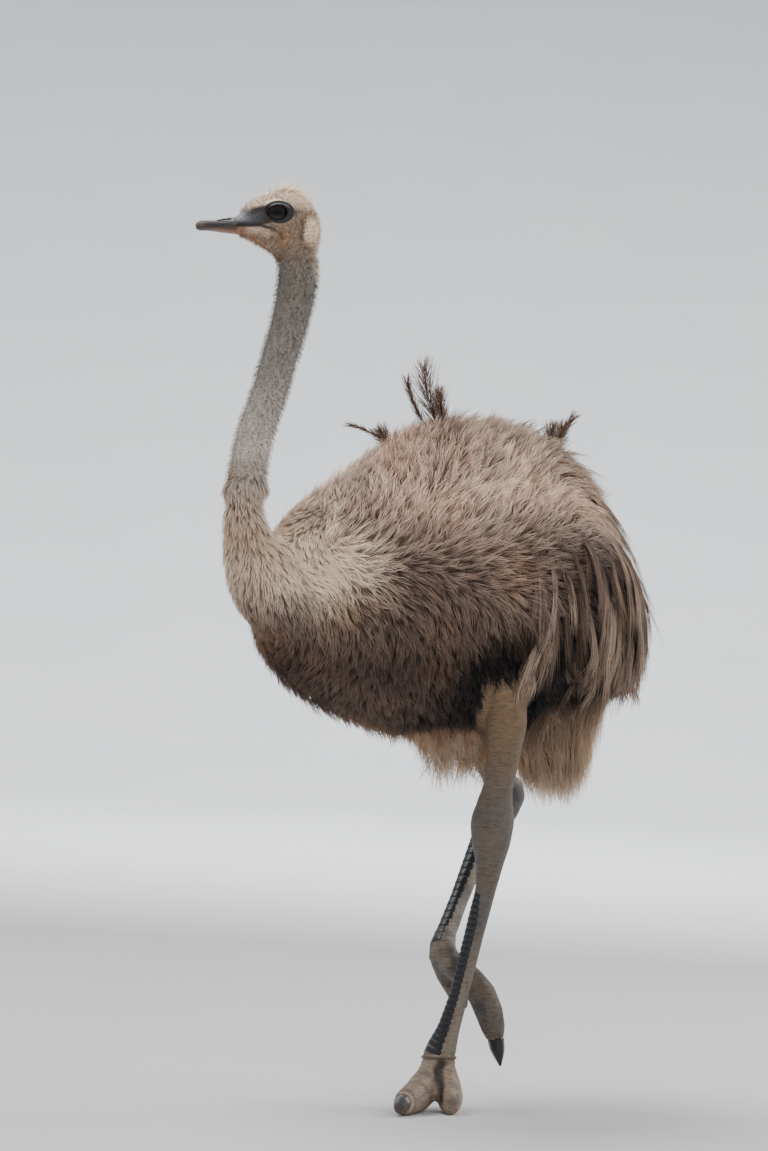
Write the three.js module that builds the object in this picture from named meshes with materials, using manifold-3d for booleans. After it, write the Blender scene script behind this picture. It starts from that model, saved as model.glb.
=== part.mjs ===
// A life-size hen ostrich in mid-stride: the left foot is planted and the right one swings through.
// Millimetres, +Z up, +X to the bird's left, facing -Y. The origin is the bottom centre of its box.
import * as THREE from "three";
import { mergeVertices } from "three/addons/utils/BufferGeometryUtils.js";
import Module from "manifold-3d";

const wasm = await Module();
wasm.setup();

// ---- Driving dimensions ----
const GAP = 0.3; // clearance between neighbouring parts
const EYE_HEIGHT = 1738; // from the floor to the centre of the eyes
const HEAD_FORWARD = 493; // middle of the head, from the middle of the trunk
const HEAD_LEFT = -42;
const HEAD_TURN = 42; // degrees to the bird's right of the body's own heading
const HEAD_WIDTH_AT_EYES = 76;
const NECK_JOIN = 1640; // height of the joint between neck and head
const BILL_BASE = 74; // ahead of the eyes
const MOUTH_DROP = 23; // below the eyes, measured under them
const MOUTH_SLOPE = 3.9; // degrees, down towards the tip
const EYEBALL = { long: 21, deep: 14, tall: 19.5 }; // half-sizes
const EYE_OFFSET = 25; // from the head's middle plane to the eyeball's centre
const ORBIT = { long: 25, deep: 12, tall: 20 }; // half-sizes of the hollow that the lids lie in
const ORBIT_OFFSET = 44; // from the head's middle plane to the hollow's centre
const HOLLOW_ROOM = 13; // between a leg and the belly feathers round it

// ---- Frame ----
const at = (forward, left, up) => new THREE.Vector3(left, -forward, up);
const LEFT = new THREE.Vector3(1, 0, 0);
const FORWARD = new THREE.Vector3(0, -1, 0);
const UP = new THREE.Vector3(0, 0, 1);

const headTurn = THREE.MathUtils.degToRad(HEAD_TURN);
const headForward = at(Math.cos(headTurn), -Math.sin(headTurn), 0);
const headLeft = at(Math.sin(headTurn), Math.cos(headTurn), 0);
const headCentre = at(HEAD_FORWARD, HEAD_LEFT, EYE_HEIGHT);

// A place in the head's own frame: ahead of the eyes, to the head's left, above the eyes.
function inHead(ahead, aside, above) {
  return headCentre
    .clone()
    .addScaledVector(headForward, ahead)
    .addScaledVector(headLeft, aside)
    .addScaledVector(UP, above);
}

// ---- Solids ----
// A cross-section of a limb: where its centre is, its half-width to the side, its half-depth
// across that, and how much narrower it is on its upper half than on its lower half.
const section = (centre, wide, deep = wide, egg = 0) => ({ centre, wide, deep, egg });

function smooth(values) {
  return new THREE.CatmullRomCurve3(values, false, "catmullrom", 0.5);
}

// A closed body drawn through cross-sections, like a ship's hull through its frames.
// grow swells every cross-section; facing, if given, keeps all of them square to one direction.
function hull(sections, { around = 14, steps = 3, side = LEFT, grow = 0, facing = null } = {}) {
  const spine = smooth(sections.map((s) => s.centre));
  const girth = smooth(sections.map((s) => new THREE.Vector3(s.wide, s.deep, s.egg * 100)));
  const rings = (sections.length - 1) * steps;
  const points = [];
  const faces = [];
  for (let i = 0; i <= rings; i += 1) {
    const t = i / rings;
    const centre = spine.getPoint(t);
    const size = girth.getPoint(t);
    const along = facing ?? spine.getTangent(t);
    const across = side.clone().addScaledVector(along, -side.dot(along)).normalize();
    const upward = along.clone().cross(across).normalize();
    for (let j = 0; j < around; j += 1) {
      const angle = (2 * Math.PI * j) / around;
      const narrowing = 1 - (size.z / 100) * Math.sin(angle);
      points.push(
        centre
          .clone()
          .addScaledVector(across, (Math.max(size.x, 1) + grow) * Math.cos(angle) * narrowing)
          .addScaledVector(upward, (Math.max(size.y, 1) + grow) * Math.sin(angle)),
      );
    }
  }
  const first = points.push(spine.getPoint(0).addScaledVector(facing ?? spine.getTangent(0), -grow)) - 1;
  const last = points.push(spine.getPoint(1).addScaledVector(facing ?? spine.getTangent(1), grow)) - 1;
  for (let j = 0; j < around; j += 1) {
    const k = (j + 1) % around;
    const top = rings * around;
    faces.push(first, k, j, last, top + j, top + k);
    for (let i = 0; i < rings; i += 1) {
      const low = i * around;
      const high = low + around;
      faces.push(low + j, low + k, high + k, low + j, high + k, high + j);
    }
  }
  const vertProperties = new Float32Array(points.flatMap((p) => [p.x, p.y, p.z]));
  return new wasm.Manifold(
    new wasm.Mesh({ numProp: 3, vertProperties, triVerts: new Uint32Array(faces) }),
  );
}

// A three.js geometry, placed by a matrix, as a solid.
function solid(geometry, matrix) {
  const bare = geometry.clone().applyMatrix4(matrix);
  bare.deleteAttribute("normal");
  bare.deleteAttribute("uv");
  const merged = mergeVertices(bare);
  return new wasm.Manifold(
    new wasm.Mesh({
      numProp: 3,
      vertProperties: merged.attributes.position.array,
      triVerts: new Uint32Array(merged.index.array),
    }),
  );
}

// A ball stretched along the head's own axes.
function headBall(place, long, deep, tall, grow = 0) {
  const axes = new THREE.Matrix4().makeBasis(headForward, headLeft, UP);
  const size = new THREE.Matrix4().makeScale(long + grow, deep + grow, tall + grow);
  const move = new THREE.Matrix4().setPosition(place);
  return solid(new THREE.SphereGeometry(1, 12, 8), move.multiply(axes).multiply(size));
}

// Everything on one side of a tilted plane, as a large box that stands on it.
function halfSpace(point, normal) {
  const size = 4000;
  const turn = new THREE.Quaternion().setFromUnitVectors(UP, normal.clone().normalize());
  const centre = point.clone().addScaledVector(normal.clone().normalize(), size / 2);
  const matrix = new THREE.Matrix4().compose(centre, turn, new THREE.Vector3(1, 1, 1));
  return solid(new THREE.BoxGeometry(size, size, size), matrix);
}

const join = (pieces) => pieces.reduce((whole, piece) => whole.add(piece));
const aboveFloor = halfSpace(at(0, 0, 0), UP);

function mesh(name, body, colour, roughness) {
  const built = body.getMesh();
  const geometry = new THREE.BufferGeometry();
  const position = new THREE.BufferAttribute(new Float32Array(built.vertProperties), 3);
  geometry.setAttribute("position", position);
  geometry.setIndex(new THREE.BufferAttribute(new Uint32Array(built.triVerts), 1));
  geometry.computeVertexNormals();
  const material = new THREE.MeshStandardMaterial({ color: colour, roughness, metalness: 0 });
  const made = new THREE.Mesh(geometry, material);
  made.name = name;
  return made;
}

// ---- Colours ----
const BODY_FEATHER = 0x8d7c6b;
const WING_FEATHER = 0x7b6a5a;
const PALE_PLUME = 0xb9a184;
const NECK_DOWN = 0x9a8f80;
const HEAD_DOWN = 0xb09d85;
const BARE_SKIN = 0x85776a;
const SHANK_SKIN = 0x5d5a58;
const HORN = 0x6b6862;
const EYE = 0x20150f;

// ---- Trunk ----
// Each frame of the trunk: how far forward, the height of its back and belly, its half-width.
const TRUNK_FRAMES = [
  { forward: 506, back: 1014, belly: 975, half: 14 },
  { forward: 484, back: 1098, belly: 918, half: 58 },
  { forward: 434, back: 1165, belly: 862, half: 122 },
  { forward: 350, back: 1228, belly: 803, half: 190 },
  { forward: 220, back: 1300, belly: 756, half: 240 },
  { forward: 100, back: 1366, belly: 742, half: 255 },
  { forward: -60, back: 1400, belly: 738, half: 256 },
  { forward: -200, back: 1384, belly: 740, half: 244 },
  { forward: -310, back: 1338, belly: 752, half: 218 },
  { forward: -405, back: 1256, belly: 790, half: 172 },
  { forward: -462, back: 1164, belly: 850, half: 110 },
  { forward: -486, back: 1060, belly: 930, half: 34 },
];
const TRUNK_EGG = 0.12; // the back is this much narrower than the belly

function trunkBody(grow = 0) {
  const frames = TRUNK_FRAMES.map(({ forward, back, belly, half }) =>
    section(at(forward, 0, (back + belly) / 2), half, (back - belly) / 2, TRUNK_EGG),
  ).reverse();
  return hull(frames, { around: 24, steps: 2, facing: FORWARD, grow });
}

// ---- Plumes ----
// A flat drooping lock of long feathers: root, tip, how far its middle bows out, and its widths.
function plume(root, tip, bow, wide, thick, side = LEFT, grow = 0) {
  const middle = root.clone().lerp(tip, 0.5).add(bow);
  const nearTip = root.clone().lerp(tip, 0.82).addScaledVector(bow, 0.6);
  const frames = [
    section(root, wide * 0.7, thick),
    section(middle, wide, thick),
    section(nearTip, wide * 0.62, thick * 0.6),
    section(tip, wide * 0.12, thick * 0.2),
  ];
  return hull(frames, { around: 6, steps: 1, side, grow });
}

// Single feathers that stand up from the back, and the fluff that hangs between the thighs.
const LOOSE_PLUMES = [
  plume(at(22, -28, 1360), at(62, -24, 1493), at(10, 0, 0), 27, 14),
  plume(at(60, -26, 1340), at(118, -24, 1455), at(10, 0, 0), 13, 11),
  plume(at(-300, 4, 1290), at(-366, 0, 1412), at(-4, 0, 0), 20, 13),
  plume(at(95, -90, 1280), at(166, -112, 1362), at(0, 0, 10), 16, 12),
  plume(at(10, -20, 800), at(-20, -30, 664), at(-20, 0, 0), 62, 40),
  plume(at(-80, 10, 800), at(-95, -10, 690), at(-10, 0, 0), 58, 38),
];

// ---- Legs ----
// Both legs as cross-sections from the thigh down; the left one stands and the right one swings.
const LEGS = {
  left: {
    drumstick: [
      section(at(40, 160, 945), 60, 80),
      section(at(-8, 158, 880), 48, 54),
      section(at(-26, 152, 830), 43, 45),
      section(at(-37, 149, 782), 41, 43),
      section(at(-54, 130, 720), 33, 36),
      section(at(-75, 101, 651), 30, 33),
      section(at(-90, 82, 618), 36, 41),
    ],
    shank: [
      section(at(-94, 78, 609), 39, 45),
      section(at(-103, 67, 580), 43, 49),
      section(at(-113, 59, 538), 37, 43),
      section(at(-120, 52, 500), 26, 33),
      section(at(-126, 40, 448), 20, 25),
      section(at(-130, 10, 344), 18, 23),
      section(at(-126, -17, 224), 18, 23),
      section(at(-122, -35, 160), 22, 25),
      section(at(-117, -46, 124), 33, 28),
    ],
    knuckle: section(at(-114, -52, 94), 38, 31),
    footDrop: at(3, 0, -24),
    innerToe: [
      section(at(-113, -57, 86), 28, 27),
      section(at(-83, -44, 61), 31, 29),
      section(at(-57, -35, 45), 31, 35),
      section(at(-31, -24, 34), 31, 35),
      section(at(-3, -11, 30), 30, 33),
      section(at(23, 1, 27), 28, 30),
      section(at(45, 11, 25), 25, 28),
      section(at(61, 18, 23), 19, 22),
    ],
    outerToe: [
      section(at(-115, -35, 82), 22, 24),
      section(at(-97, -9, 55), 27, 28),
      section(at(-81, 11, 37), 28, 37),
      section(at(-65, 29, 28), 26, 31),
      section(at(-49, 44, 24), 22, 27),
      section(at(-37, 55, 21), 14, 21),
    ],
    claw: [
      section(at(59, 17, 27), 17, 17),
      section(at(69, 21, 23), 16, 17),
      section(at(79, 26, 17), 12, 13),
      section(at(85, 29, 11), 6, 7),
    ],
  },
  right: {
    drumstick: [
      section(at(15, -160, 905), 60, 82),
      section(at(-95, -150, 850), 50, 60),
      section(at(-195, -142, 798), 44, 50),
      section(at(-285, -145, 738), 37, 41),
      section(at(-352, -157, 685), 33, 36),
      section(at(-386, -165, 655), 34, 37),
    ],
    shank: [
      section(at(-398, -168, 645), 38, 43),
      section(at(-414, -172, 620), 41, 46),
      section(at(-399, -173, 594), 38, 43),
      section(at(-376, -175, 565), 31, 35),
      section(at(-346, -172, 528), 22, 27),
      section(at(-251, -142, 407), 18, 23),
      section(at(-188, -114, 346), 20, 24),
      section(at(-162, -100, 322), 28, 26),
    ],
    knuckle: section(at(-146, -84, 304), 33, 28),
    footDrop: at(-10, 8, -17),
    innerToe: [
      section(at(-146, -76, 298), 26, 25),
      section(at(-164, -59, 278), 29, 27),
      section(at(-184, -40, 255), 30, 30),
      section(at(-204, -24, 228), 30, 31),
      section(at(-219, -15, 192), 28, 31),
      section(at(-228, -9, 160), 24, 27),
      section(at(-234, -6, 138), 17, 19),
    ],
    outerToe: [
      section(at(-152, -98, 292), 20, 20),
      section(at(-178, -98, 262), 23, 24),
      section(at(-202, -92, 228), 21, 22),
      section(at(-214, -87, 203), 16, 17),
      section(at(-219, -84, 190), 9, 9),
    ],
    claw: [
      section(at(-233, -6, 141), 14, 14),
      section(at(-238, -4, 119), 12, 12),
      section(at(-243, -2, 99), 8, 8),
      section(at(-246, 0, 83), 2, 2),
    ],
  },
};

const drumstickBody = (leg, grow = 0) => hull(leg.drumstick, { around: 12, steps: 1, grow });

function shankBody(leg, grow = 0) {
  const end = leg.knuckle.centre.clone().add(leg.footDrop);
  const frames = [...leg.shank, leg.knuckle, section(end, 20, 16)];
  return hull(frames, { around: 12, steps: 1, grow });
}

const toeBody = (frames, grow = 0) => hull(frames, { around: 10, steps: 1, grow });
const clawBody = (frames) => hull(frames, { around: 8, steps: 1 });

// The hollow in the belly feathers that a leg comes out of.
function legHollow(leg) {
  const [, high, middle, low, lower] = leg.drumstick;
  return hull([high, middle, low, lower], { around: 8, steps: 1, grow: HOLLOW_ROOM });
}

// ---- Wings ----
// The outline of a folded wing, frame by frame; it lies over the trunk like a thick blanket.
const WING_FRAMES = [
  { forward: 296, left: 214, up: 1108, wide: 60, tall: 30 },
  { forward: 244, left: 230, up: 1104, wide: 90, tall: 78 },
  { forward: 120, left: 250, up: 1090, wide: 100, tall: 126 },
  { forward: -40, left: 254, up: 1062, wide: 100, tall: 156 },
  { forward: -190, left: 242, up: 1030, wide: 100, tall: 166 },
  { forward: -320, left: 206, up: 994, wide: 100, tall: 154 },
  { forward: -410, left: 160, up: 958, wide: 90, tall: 122 },
  { forward: -462, left: 110, up: 930, wide: 60, tall: 74 },
];
const WING_THICKNESS = 24;
const WING_LOCKS = 4;
const WING_LOCK_STAGGER = 24; // every second lock is this much shorter
const WING_LOCK = { wide: 60, thick: 20 };
// The ends of the foremost and hindmost long locks that hang from the left wing.
const FIRST_LOCK = { root: at(-70, 238, 990), tip: at(-125, 254, 836) };
const LAST_LOCK = { root: at(-330, 166, 950), tip: at(-425, 126, 792) };

function wingBody(sign, grow = 0) {
  const frames = WING_FRAMES.map(({ forward, left, up, wide, tall }) =>
    section(at(forward, sign * left, up), wide, tall),
  ).reverse();
  const outline = hull(frames, { around: 14, steps: 1, facing: FORWARD, grow });
  const pieces = [outline.intersect(trunkBody(WING_THICKNESS + grow))];
  const mirror = new THREE.Vector3(sign, 1, 1);
  for (let i = 0; i < WING_LOCKS; i += 1) {
    const t = i / (WING_LOCKS - 1);
    const root = FIRST_LOCK.root.clone().lerp(LAST_LOCK.root, t).multiply(mirror);
    const tip = FIRST_LOCK.tip.clone().lerp(LAST_LOCK.tip, t).multiply(mirror);
    tip.z += WING_LOCK_STAGGER * (i % 2);
    const bow = at(-14, sign * 8, 0);
    const outward = at(-1, sign * 0.4, 0).normalize();
    pieces.push(plume(root, tip, bow, WING_LOCK.wide, WING_LOCK.thick, outward, grow));
  }
  return join(pieces);
}

// ---- Tail and the plumes under it ----
const TAIL_FRAMES = [
  { forward: -390, up: 1120, wide: 90, tall: 120 },
  { forward: -460, up: 1085, wide: 106, tall: 146 },
  { forward: -515, up: 1010, wide: 100, tall: 160 },
  { forward: -558, up: 945, wide: 84, tall: 114 },
  { forward: -580, up: 900, wide: 46, tall: 60 },
];
const TAIL_LOCKS = 5;
const TAIL_LOCK = { wide: 34, thick: 22 };

function tailBody(grow = 0) {
  const frames = TAIL_FRAMES.map(({ forward, up, wide, tall }) =>
    section(at(forward, 0, up), wide, tall, 0.2),
  ).reverse();
  const pieces = [hull(frames, { around: 14, steps: 1, facing: FORWARD, grow })];
  for (let i = 0; i < TAIL_LOCKS; i += 1) {
    const spread = i - (TAIL_LOCKS - 1) / 2;
    const inward = Math.abs(spread);
    const root = at(-490 + 18 * inward, 34 * spread, 1020);
    const tip = at(-560 + 30 * inward, 44 * spread, 808 - 12 * (i % 2) + 10 * inward);
    const bow = at(-32 + 8 * inward, 4 * spread, 0);
    pieces.push(plume(root, tip, bow, TAIL_LOCK.wide, TAIL_LOCK.thick, LEFT, grow));
  }
  return join(pieces);
}

const SKIRT_PLUMES = [
  { forward: -235, left: 92, bottom: 668, wide: 54 },
  { forward: -305, left: 60, bottom: 626, wide: 60 },
  { forward: -350, left: 2, bottom: 612, wide: 60 },
  { forward: -405, left: 20, bottom: 650, wide: 58 },
];
const SKIRT_TOP = 860;
const SKIRT_LOCK_THICK = 34;

function skirtBody(grow = 0) {
  const core = hull(
    [
      section(at(-330, 8, SKIRT_TOP), 110, 130),
      section(at(-335, 8, 780), 110, 125),
      section(at(-345, 12, 710), 84, 92),
      section(at(-350, 15, 665), 40, 44),
    ],
    { around: 12, steps: 1, grow },
  );
  const locks = SKIRT_PLUMES.map(({ forward, left, bottom, wide }) => {
    const root = at(forward + 25, left, SKIRT_TOP - 30);
    const tip = at(forward - 10, left, bottom);
    return plume(root, tip, at(-8, 0, 0), wide, SKIRT_LOCK_THICK, LEFT, grow);
  });
  return join([core, ...locks]);
}

// ---- Neck ----
// From inside the breast up into the skull; the feathered base ends in a collar.
const COLLAR = 1226;
const NECK_HALFWAY = 1430;
const NECK_FRAMES = [
  section(at(280, 0, 1015), 120, 122),
  section(at(400, 0, 992), 104, 106),
  section(at(488, 0, 1008), 82, 82),
  section(at(535, -3, 1048), 69, 69),
  section(at(558, -6, 1103), 59, 59),
  section(at(567, -10, 1160), 52, 52),
  section(at(568, -12, 1202), 47, 48),
  section(at(564, -13, 1228), 37, 38),
  section(at(543, -18, 1309), 34, 36),
  section(at(517, -18, 1373), 33, 35.5),
  section(at(496, -17, 1440), 33, 35),
  section(at(471, -15, 1520), 34, 36.5),
  section(at(460, -12, 1579), 35, 38.5),
  section(at(457, -10, 1640), 36, 40),
  section(at(464, -18, 1702), 31, 34),
];
const neckBody = () => hull(NECK_FRAMES, { around: 12, steps: 2 });

// The stretch of a body between two heights, short of each by half the gap.
function between(body, low, high) {
  const above = halfSpace(at(0, 0, low + GAP / 2), UP);
  const below = halfSpace(at(0, 0, high - GAP / 2), UP.clone().negate());
  return body.intersect(above).intersect(below);
}

// ---- Head ----
// Frames from the nape to the face: ahead of the eyes, top and bottom against them, half-width.
const SKULL_FRAMES = [
  { ahead: -86, top: -18, bottom: -56, half: 8 },
  { ahead: -80, top: 2, bottom: -76, half: 23 },
  { ahead: -66, top: 29, bottom: -86, half: 33 },
  { ahead: -40, top: 50, bottom: -90, half: 38 },
  { ahead: -8, top: 55, bottom: -85, half: HEAD_WIDTH_AT_EYES / 2 + 1 },
  { ahead: 14, top: 45, bottom: -73, half: 36 },
  { ahead: 36, top: 33, bottom: -60, half: 31 },
  { ahead: 54, top: 17, bottom: -51, half: 27 },
  { ahead: 66, top: 1, bottom: -46.5, half: 25 },
  { ahead: BILL_BASE, top: -8, bottom: -44.5, half: 23.5 },
];
const BILL_FRAMES = [
  { ahead: BILL_BASE + GAP, top: -11, bottom: -43.5, half: 23 },
  { ahead: 85, top: -15, bottom: -43, half: 22 },
  { ahead: 97, top: -17.5, bottom: -42.5, half: 21 },
  { ahead: 118, top: -20, bottom: -40.5, half: 18 },
  { ahead: 135, top: -22, bottom: -40, half: 14 },
  { ahead: 145, top: -25, bottom: -39.5, half: 9.5 },
  { ahead: 150, top: -29, bottom: -37, half: 4.5 },
];

function headHull(frames, around, steps) {
  const sections = frames.map(({ ahead, top, bottom, half }) =>
    section(inHead(ahead, 0, (top + bottom) / 2), half, (top - bottom) / 2),
  );
  return hull(sections, { around, steps, side: headLeft, facing: headForward });
}

const eyePlace = (sign, aside = EYE_OFFSET) => inHead(0, sign * aside, 0);

function eyeBody(sign, grow = 0) {
  return headBall(eyePlace(sign), EYEBALL.long, EYEBALL.deep, EYEBALL.tall, grow);
}

function headBody() {
  const throat = neckBody().intersect(halfSpace(at(0, 0, NECK_JOIN + GAP / 2), UP));
  const skull = headHull(SKULL_FRAMES, 14, 2).add(throat);
  const orbits = [1, -1].map((sign) =>
    headBall(eyePlace(sign, ORBIT_OFFSET), ORBIT.long, ORBIT.deep, ORBIT.tall),
  );
  const sockets = [1, -1].map((sign) => eyeBody(sign, GAP));
  return skull.subtract(join([...orbits, ...sockets]));
}

// The upper and lower bill are one form, parted along the mouth.
function billHalf(sign) {
  const slope = THREE.MathUtils.degToRad(MOUTH_SLOPE);
  const normal = headForward
    .clone()
    .multiplyScalar(Math.sin(slope))
    .addScaledVector(UP, Math.cos(slope))
    .multiplyScalar(sign);
  const edge = inHead(0, 0, -MOUTH_DROP).addScaledVector(normal, GAP / 2);
  return headHull(BILL_FRAMES, 14, 1).intersect(halfSpace(edge, normal));
}

// ---- Assembly ----
const trunk = trunkBody();
const trunkSpace = trunkBody(GAP);
const ostrich = new THREE.Group();

let carved = join([trunk, ...LOOSE_PLUMES]);
for (const leg of Object.values(LEGS)) {
  carved = carved.subtract(legHollow(leg)).subtract(drumstickBody(leg, GAP));
}
ostrich.add(mesh("trunk", carved, BODY_FEATHER, 0.9));

const wingSpaces = [];
for (const [name, sign] of [["left", 1], ["right", -1]]) {
  const leg = LEGS[name];
  const clear = join([trunkSpace, drumstickBody(leg, GAP), legHollow(leg)]);
  ostrich.add(mesh(`wing_${name}`, wingBody(sign).subtract(clear), WING_FEATHER, 0.9));
  wingSpaces.push(wingBody(sign, GAP));
}

const rear = join([trunkSpace, ...wingSpaces]);
ostrich.add(mesh("tail", tailBody().subtract(rear), WING_FEATHER, 0.9));

const legSpaces = Object.values(LEGS).flatMap((leg) => [
  drumstickBody(leg, GAP),
  legHollow(leg),
  shankBody(leg, GAP),
]);
const skirtClear = join([rear, tailBody(GAP), ...legSpaces]);
ostrich.add(mesh("vent_plumes", skirtBody().subtract(skirtClear), PALE_PLUME, 0.95));

const neck = neckBody();
const neckBase = between(neck, 0, COLLAR).subtract(trunkSpace);
ostrich.add(mesh("neck_base", neckBase, BODY_FEATHER, 0.9));
ostrich.add(mesh("neck_middle", between(neck, COLLAR, NECK_HALFWAY), NECK_DOWN, 0.9));
ostrich.add(mesh("neck_upper", between(neck, NECK_HALFWAY, NECK_JOIN), NECK_DOWN, 0.9));
ostrich.add(mesh("head", headBody(), HEAD_DOWN, 0.9));
ostrich.add(mesh("bill_upper", billHalf(1), HORN, 0.5));
ostrich.add(mesh("bill_lower", billHalf(-1), HORN, 0.5));
ostrich.add(mesh("eye_left", eyeBody(1), EYE, 0.1));
ostrich.add(mesh("eye_right", eyeBody(-1), EYE, 0.1));

for (const [name, leg] of Object.entries(LEGS)) {
  const shankSpace = shankBody(leg, GAP);
  const inner = toeBody(leg.innerToe).subtract(shankSpace).intersect(aboveFloor);
  const outer = toeBody(leg.outerToe)
    .subtract(shankSpace.add(toeBody(leg.innerToe, GAP)))
    .intersect(aboveFloor);
  const claw = clawBody(leg.claw).subtract(toeBody(leg.innerToe, GAP));
  const drumstick = drumstickBody(leg).subtract(shankSpace);
  ostrich.add(mesh(`drumstick_${name}`, drumstick, BARE_SKIN, 0.7));
  ostrich.add(mesh(`shank_${name}`, shankBody(leg), SHANK_SKIN, 0.6));
  ostrich.add(mesh(`toe_inner_${name}`, inner, SHANK_SKIN, 0.65));
  ostrich.add(mesh(`toe_outer_${name}`, outer, SHANK_SKIN, 0.65));
  ostrich.add(mesh(`claw_${name}`, claw.intersect(aboveFloor), HORN, 0.35));
}

const box = new THREE.Box3().setFromObject(ostrich);
const middle = box.getCenter(new THREE.Vector3());
ostrich.position.set(-middle.x, -middle.y, -box.min.z);

export default ostrich;
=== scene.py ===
"""Looks of a life-size hen ostrich in mid-stride: skin, plumage, head, bare legs, floor and light."""

import math

import bpy
import numpy as np
from mathutils import Matrix, Vector
from mathutils.bvhtree import BVHTree


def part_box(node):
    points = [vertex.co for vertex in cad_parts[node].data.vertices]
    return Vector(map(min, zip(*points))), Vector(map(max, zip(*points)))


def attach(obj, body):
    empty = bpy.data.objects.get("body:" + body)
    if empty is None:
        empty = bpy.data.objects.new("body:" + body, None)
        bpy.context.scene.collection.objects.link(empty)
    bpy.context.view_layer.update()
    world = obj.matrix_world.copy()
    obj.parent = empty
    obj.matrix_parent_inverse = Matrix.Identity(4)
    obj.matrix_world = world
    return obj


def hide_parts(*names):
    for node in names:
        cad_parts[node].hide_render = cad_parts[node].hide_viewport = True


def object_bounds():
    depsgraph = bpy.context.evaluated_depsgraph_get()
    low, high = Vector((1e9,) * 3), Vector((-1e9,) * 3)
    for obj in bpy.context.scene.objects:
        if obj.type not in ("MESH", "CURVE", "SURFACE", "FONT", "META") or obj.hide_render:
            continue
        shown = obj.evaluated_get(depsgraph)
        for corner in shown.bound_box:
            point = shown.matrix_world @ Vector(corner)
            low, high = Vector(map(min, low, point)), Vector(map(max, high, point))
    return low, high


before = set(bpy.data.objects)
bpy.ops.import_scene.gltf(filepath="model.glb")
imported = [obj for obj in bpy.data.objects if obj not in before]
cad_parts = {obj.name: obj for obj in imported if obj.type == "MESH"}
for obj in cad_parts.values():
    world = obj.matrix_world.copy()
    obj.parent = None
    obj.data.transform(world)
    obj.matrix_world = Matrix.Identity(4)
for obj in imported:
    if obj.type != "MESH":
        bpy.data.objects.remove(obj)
cad_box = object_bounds()

MM = 0.001
UP = np.array([0.0, 0.0, 1.0])
BACKWARD = np.array([0.0, 1.0, 0.0])
SIDES = ("left", "right")


# ---- Places that the frame gives ----
def box(node):
    low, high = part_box(node)
    return np.array(low), np.array(high)


def middle(node):
    low, high = box(node)
    return (low + high) / 2


EYES = {side: middle(f"eye_{side}") for side in SIDES}
HEAD_CENTRE = (EYES["left"] + EYES["right"]) / 2
HEAD_LEFT = (EYES["left"] - EYES["right"]) / np.linalg.norm(EYES["left"] - EYES["right"])
HEAD_FORWARD = np.cross(HEAD_LEFT, UP)
OUTWARD = {"left": HEAD_LEFT, "right": -HEAD_LEFT}  # away from the head, at each eye
TRUNK_FRONT, TRUNK_REAR = (end[1] for end in box("trunk"))
COLLAR = box("neck_base")[1][2]


def in_head(ahead, aside, above):
    """A place in the head's own frame, in millimetres from the middle between the eyes."""
    return HEAD_CENTRE + MM * (ahead * HEAD_FORWARD + aside * HEAD_LEFT + above * UP)


def head_frame(points):
    """How far each point lies ahead, aside and above in the head's frame, in millimetres."""
    away = (points - HEAD_CENTRE) / MM
    return away @ HEAD_FORWARD, away @ HEAD_LEFT, away @ UP


# ---- Small helpers ----
def rgb(red, green, blue):
    """A screen colour from 0 to 255 as the linear colour that shaders use."""
    value = np.array([red, green, blue]) / 255.0
    return np.where(value <= 0.04045, value / 12.92, ((value + 0.055) / 1.055) ** 2.4)


def ease(values, low, high):
    """0 below low, 1 above high, and a smooth rise between them."""
    t = np.clip((values - low) / (high - low), 0.0, 1.0)
    return t * t * (3 - 2 * t)


def bell(values, centre, width):
    """1 at the centre, falling off smoothly on both sides of it."""
    return np.exp(-(((values - centre) / width) ** 2))


def spot(first, second, centre, widths):
    """1 at a place given by two values, falling off smoothly all round it."""
    return np.exp(-(((first - centre[0]) / widths[0]) ** 2 + ((second - centre[1]) / widths[1]) ** 2))


def unit(vectors):
    return vectors / np.maximum(np.linalg.norm(vectors, axis=-1, keepdims=True), 1e-9)


def blend(first, second, share):
    return first + (second - first) * np.asarray(share)[..., None]


def layered(colour, *layers):
    """A colour with others laid over it in turn, each by its own share."""
    for over, share in layers:
        colour = blend(colour, over, share)
    return colour


def deselect():
    if bpy.context.object and bpy.context.object.mode != "OBJECT":
        bpy.ops.object.mode_set(mode="OBJECT")
    bpy.ops.object.select_all(action="DESELECT")


def activate(piece):
    deselect()
    piece.select_set(True)
    bpy.context.view_layer.objects.active = piece


def modify(piece, kind, **settings):
    """Adds a modifier, sets it and applies it."""
    activate(piece)
    modifier = piece.modifiers.new(kind.title(), kind)
    for name, value in settings.items():
        setattr(modifier, name, value)
    bpy.ops.object.modifier_apply(modifier=modifier.name)


def edit_whole(piece, operator, **settings):
    """Uses one edit-mode operator on the whole of a piece."""
    activate(piece)
    bpy.ops.object.mode_set(mode="EDIT")
    bpy.ops.mesh.select_all(action="SELECT")
    operator(**settings)
    bpy.ops.object.mode_set(mode="OBJECT")


def shade_smooth(piece):
    activate(piece)
    bpy.ops.object.shade_smooth()


def duplicate(piece):
    """A copy with a mesh of its own."""
    copy = piece.copy()
    copy.data = piece.data.copy()
    bpy.context.scene.collection.objects.link(copy)
    return copy


def joined(pieces, name):
    """One piece of several."""
    deselect()
    for piece in pieces:
        piece.select_set(True)
        piece.hide_set(False)
    bpy.context.view_layer.objects.active = pieces[0]
    if len(pieces) > 1:
        bpy.ops.object.join()
    whole = bpy.context.view_layer.objects.active
    whole.name = name
    return whole


def vectors_of(items, name):
    """One vector for each corner or face of a mesh."""
    values = np.empty(len(items) * 3, np.float32)
    items.foreach_get(name, values)
    return values.reshape(-1, 3).astype(float)


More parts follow.
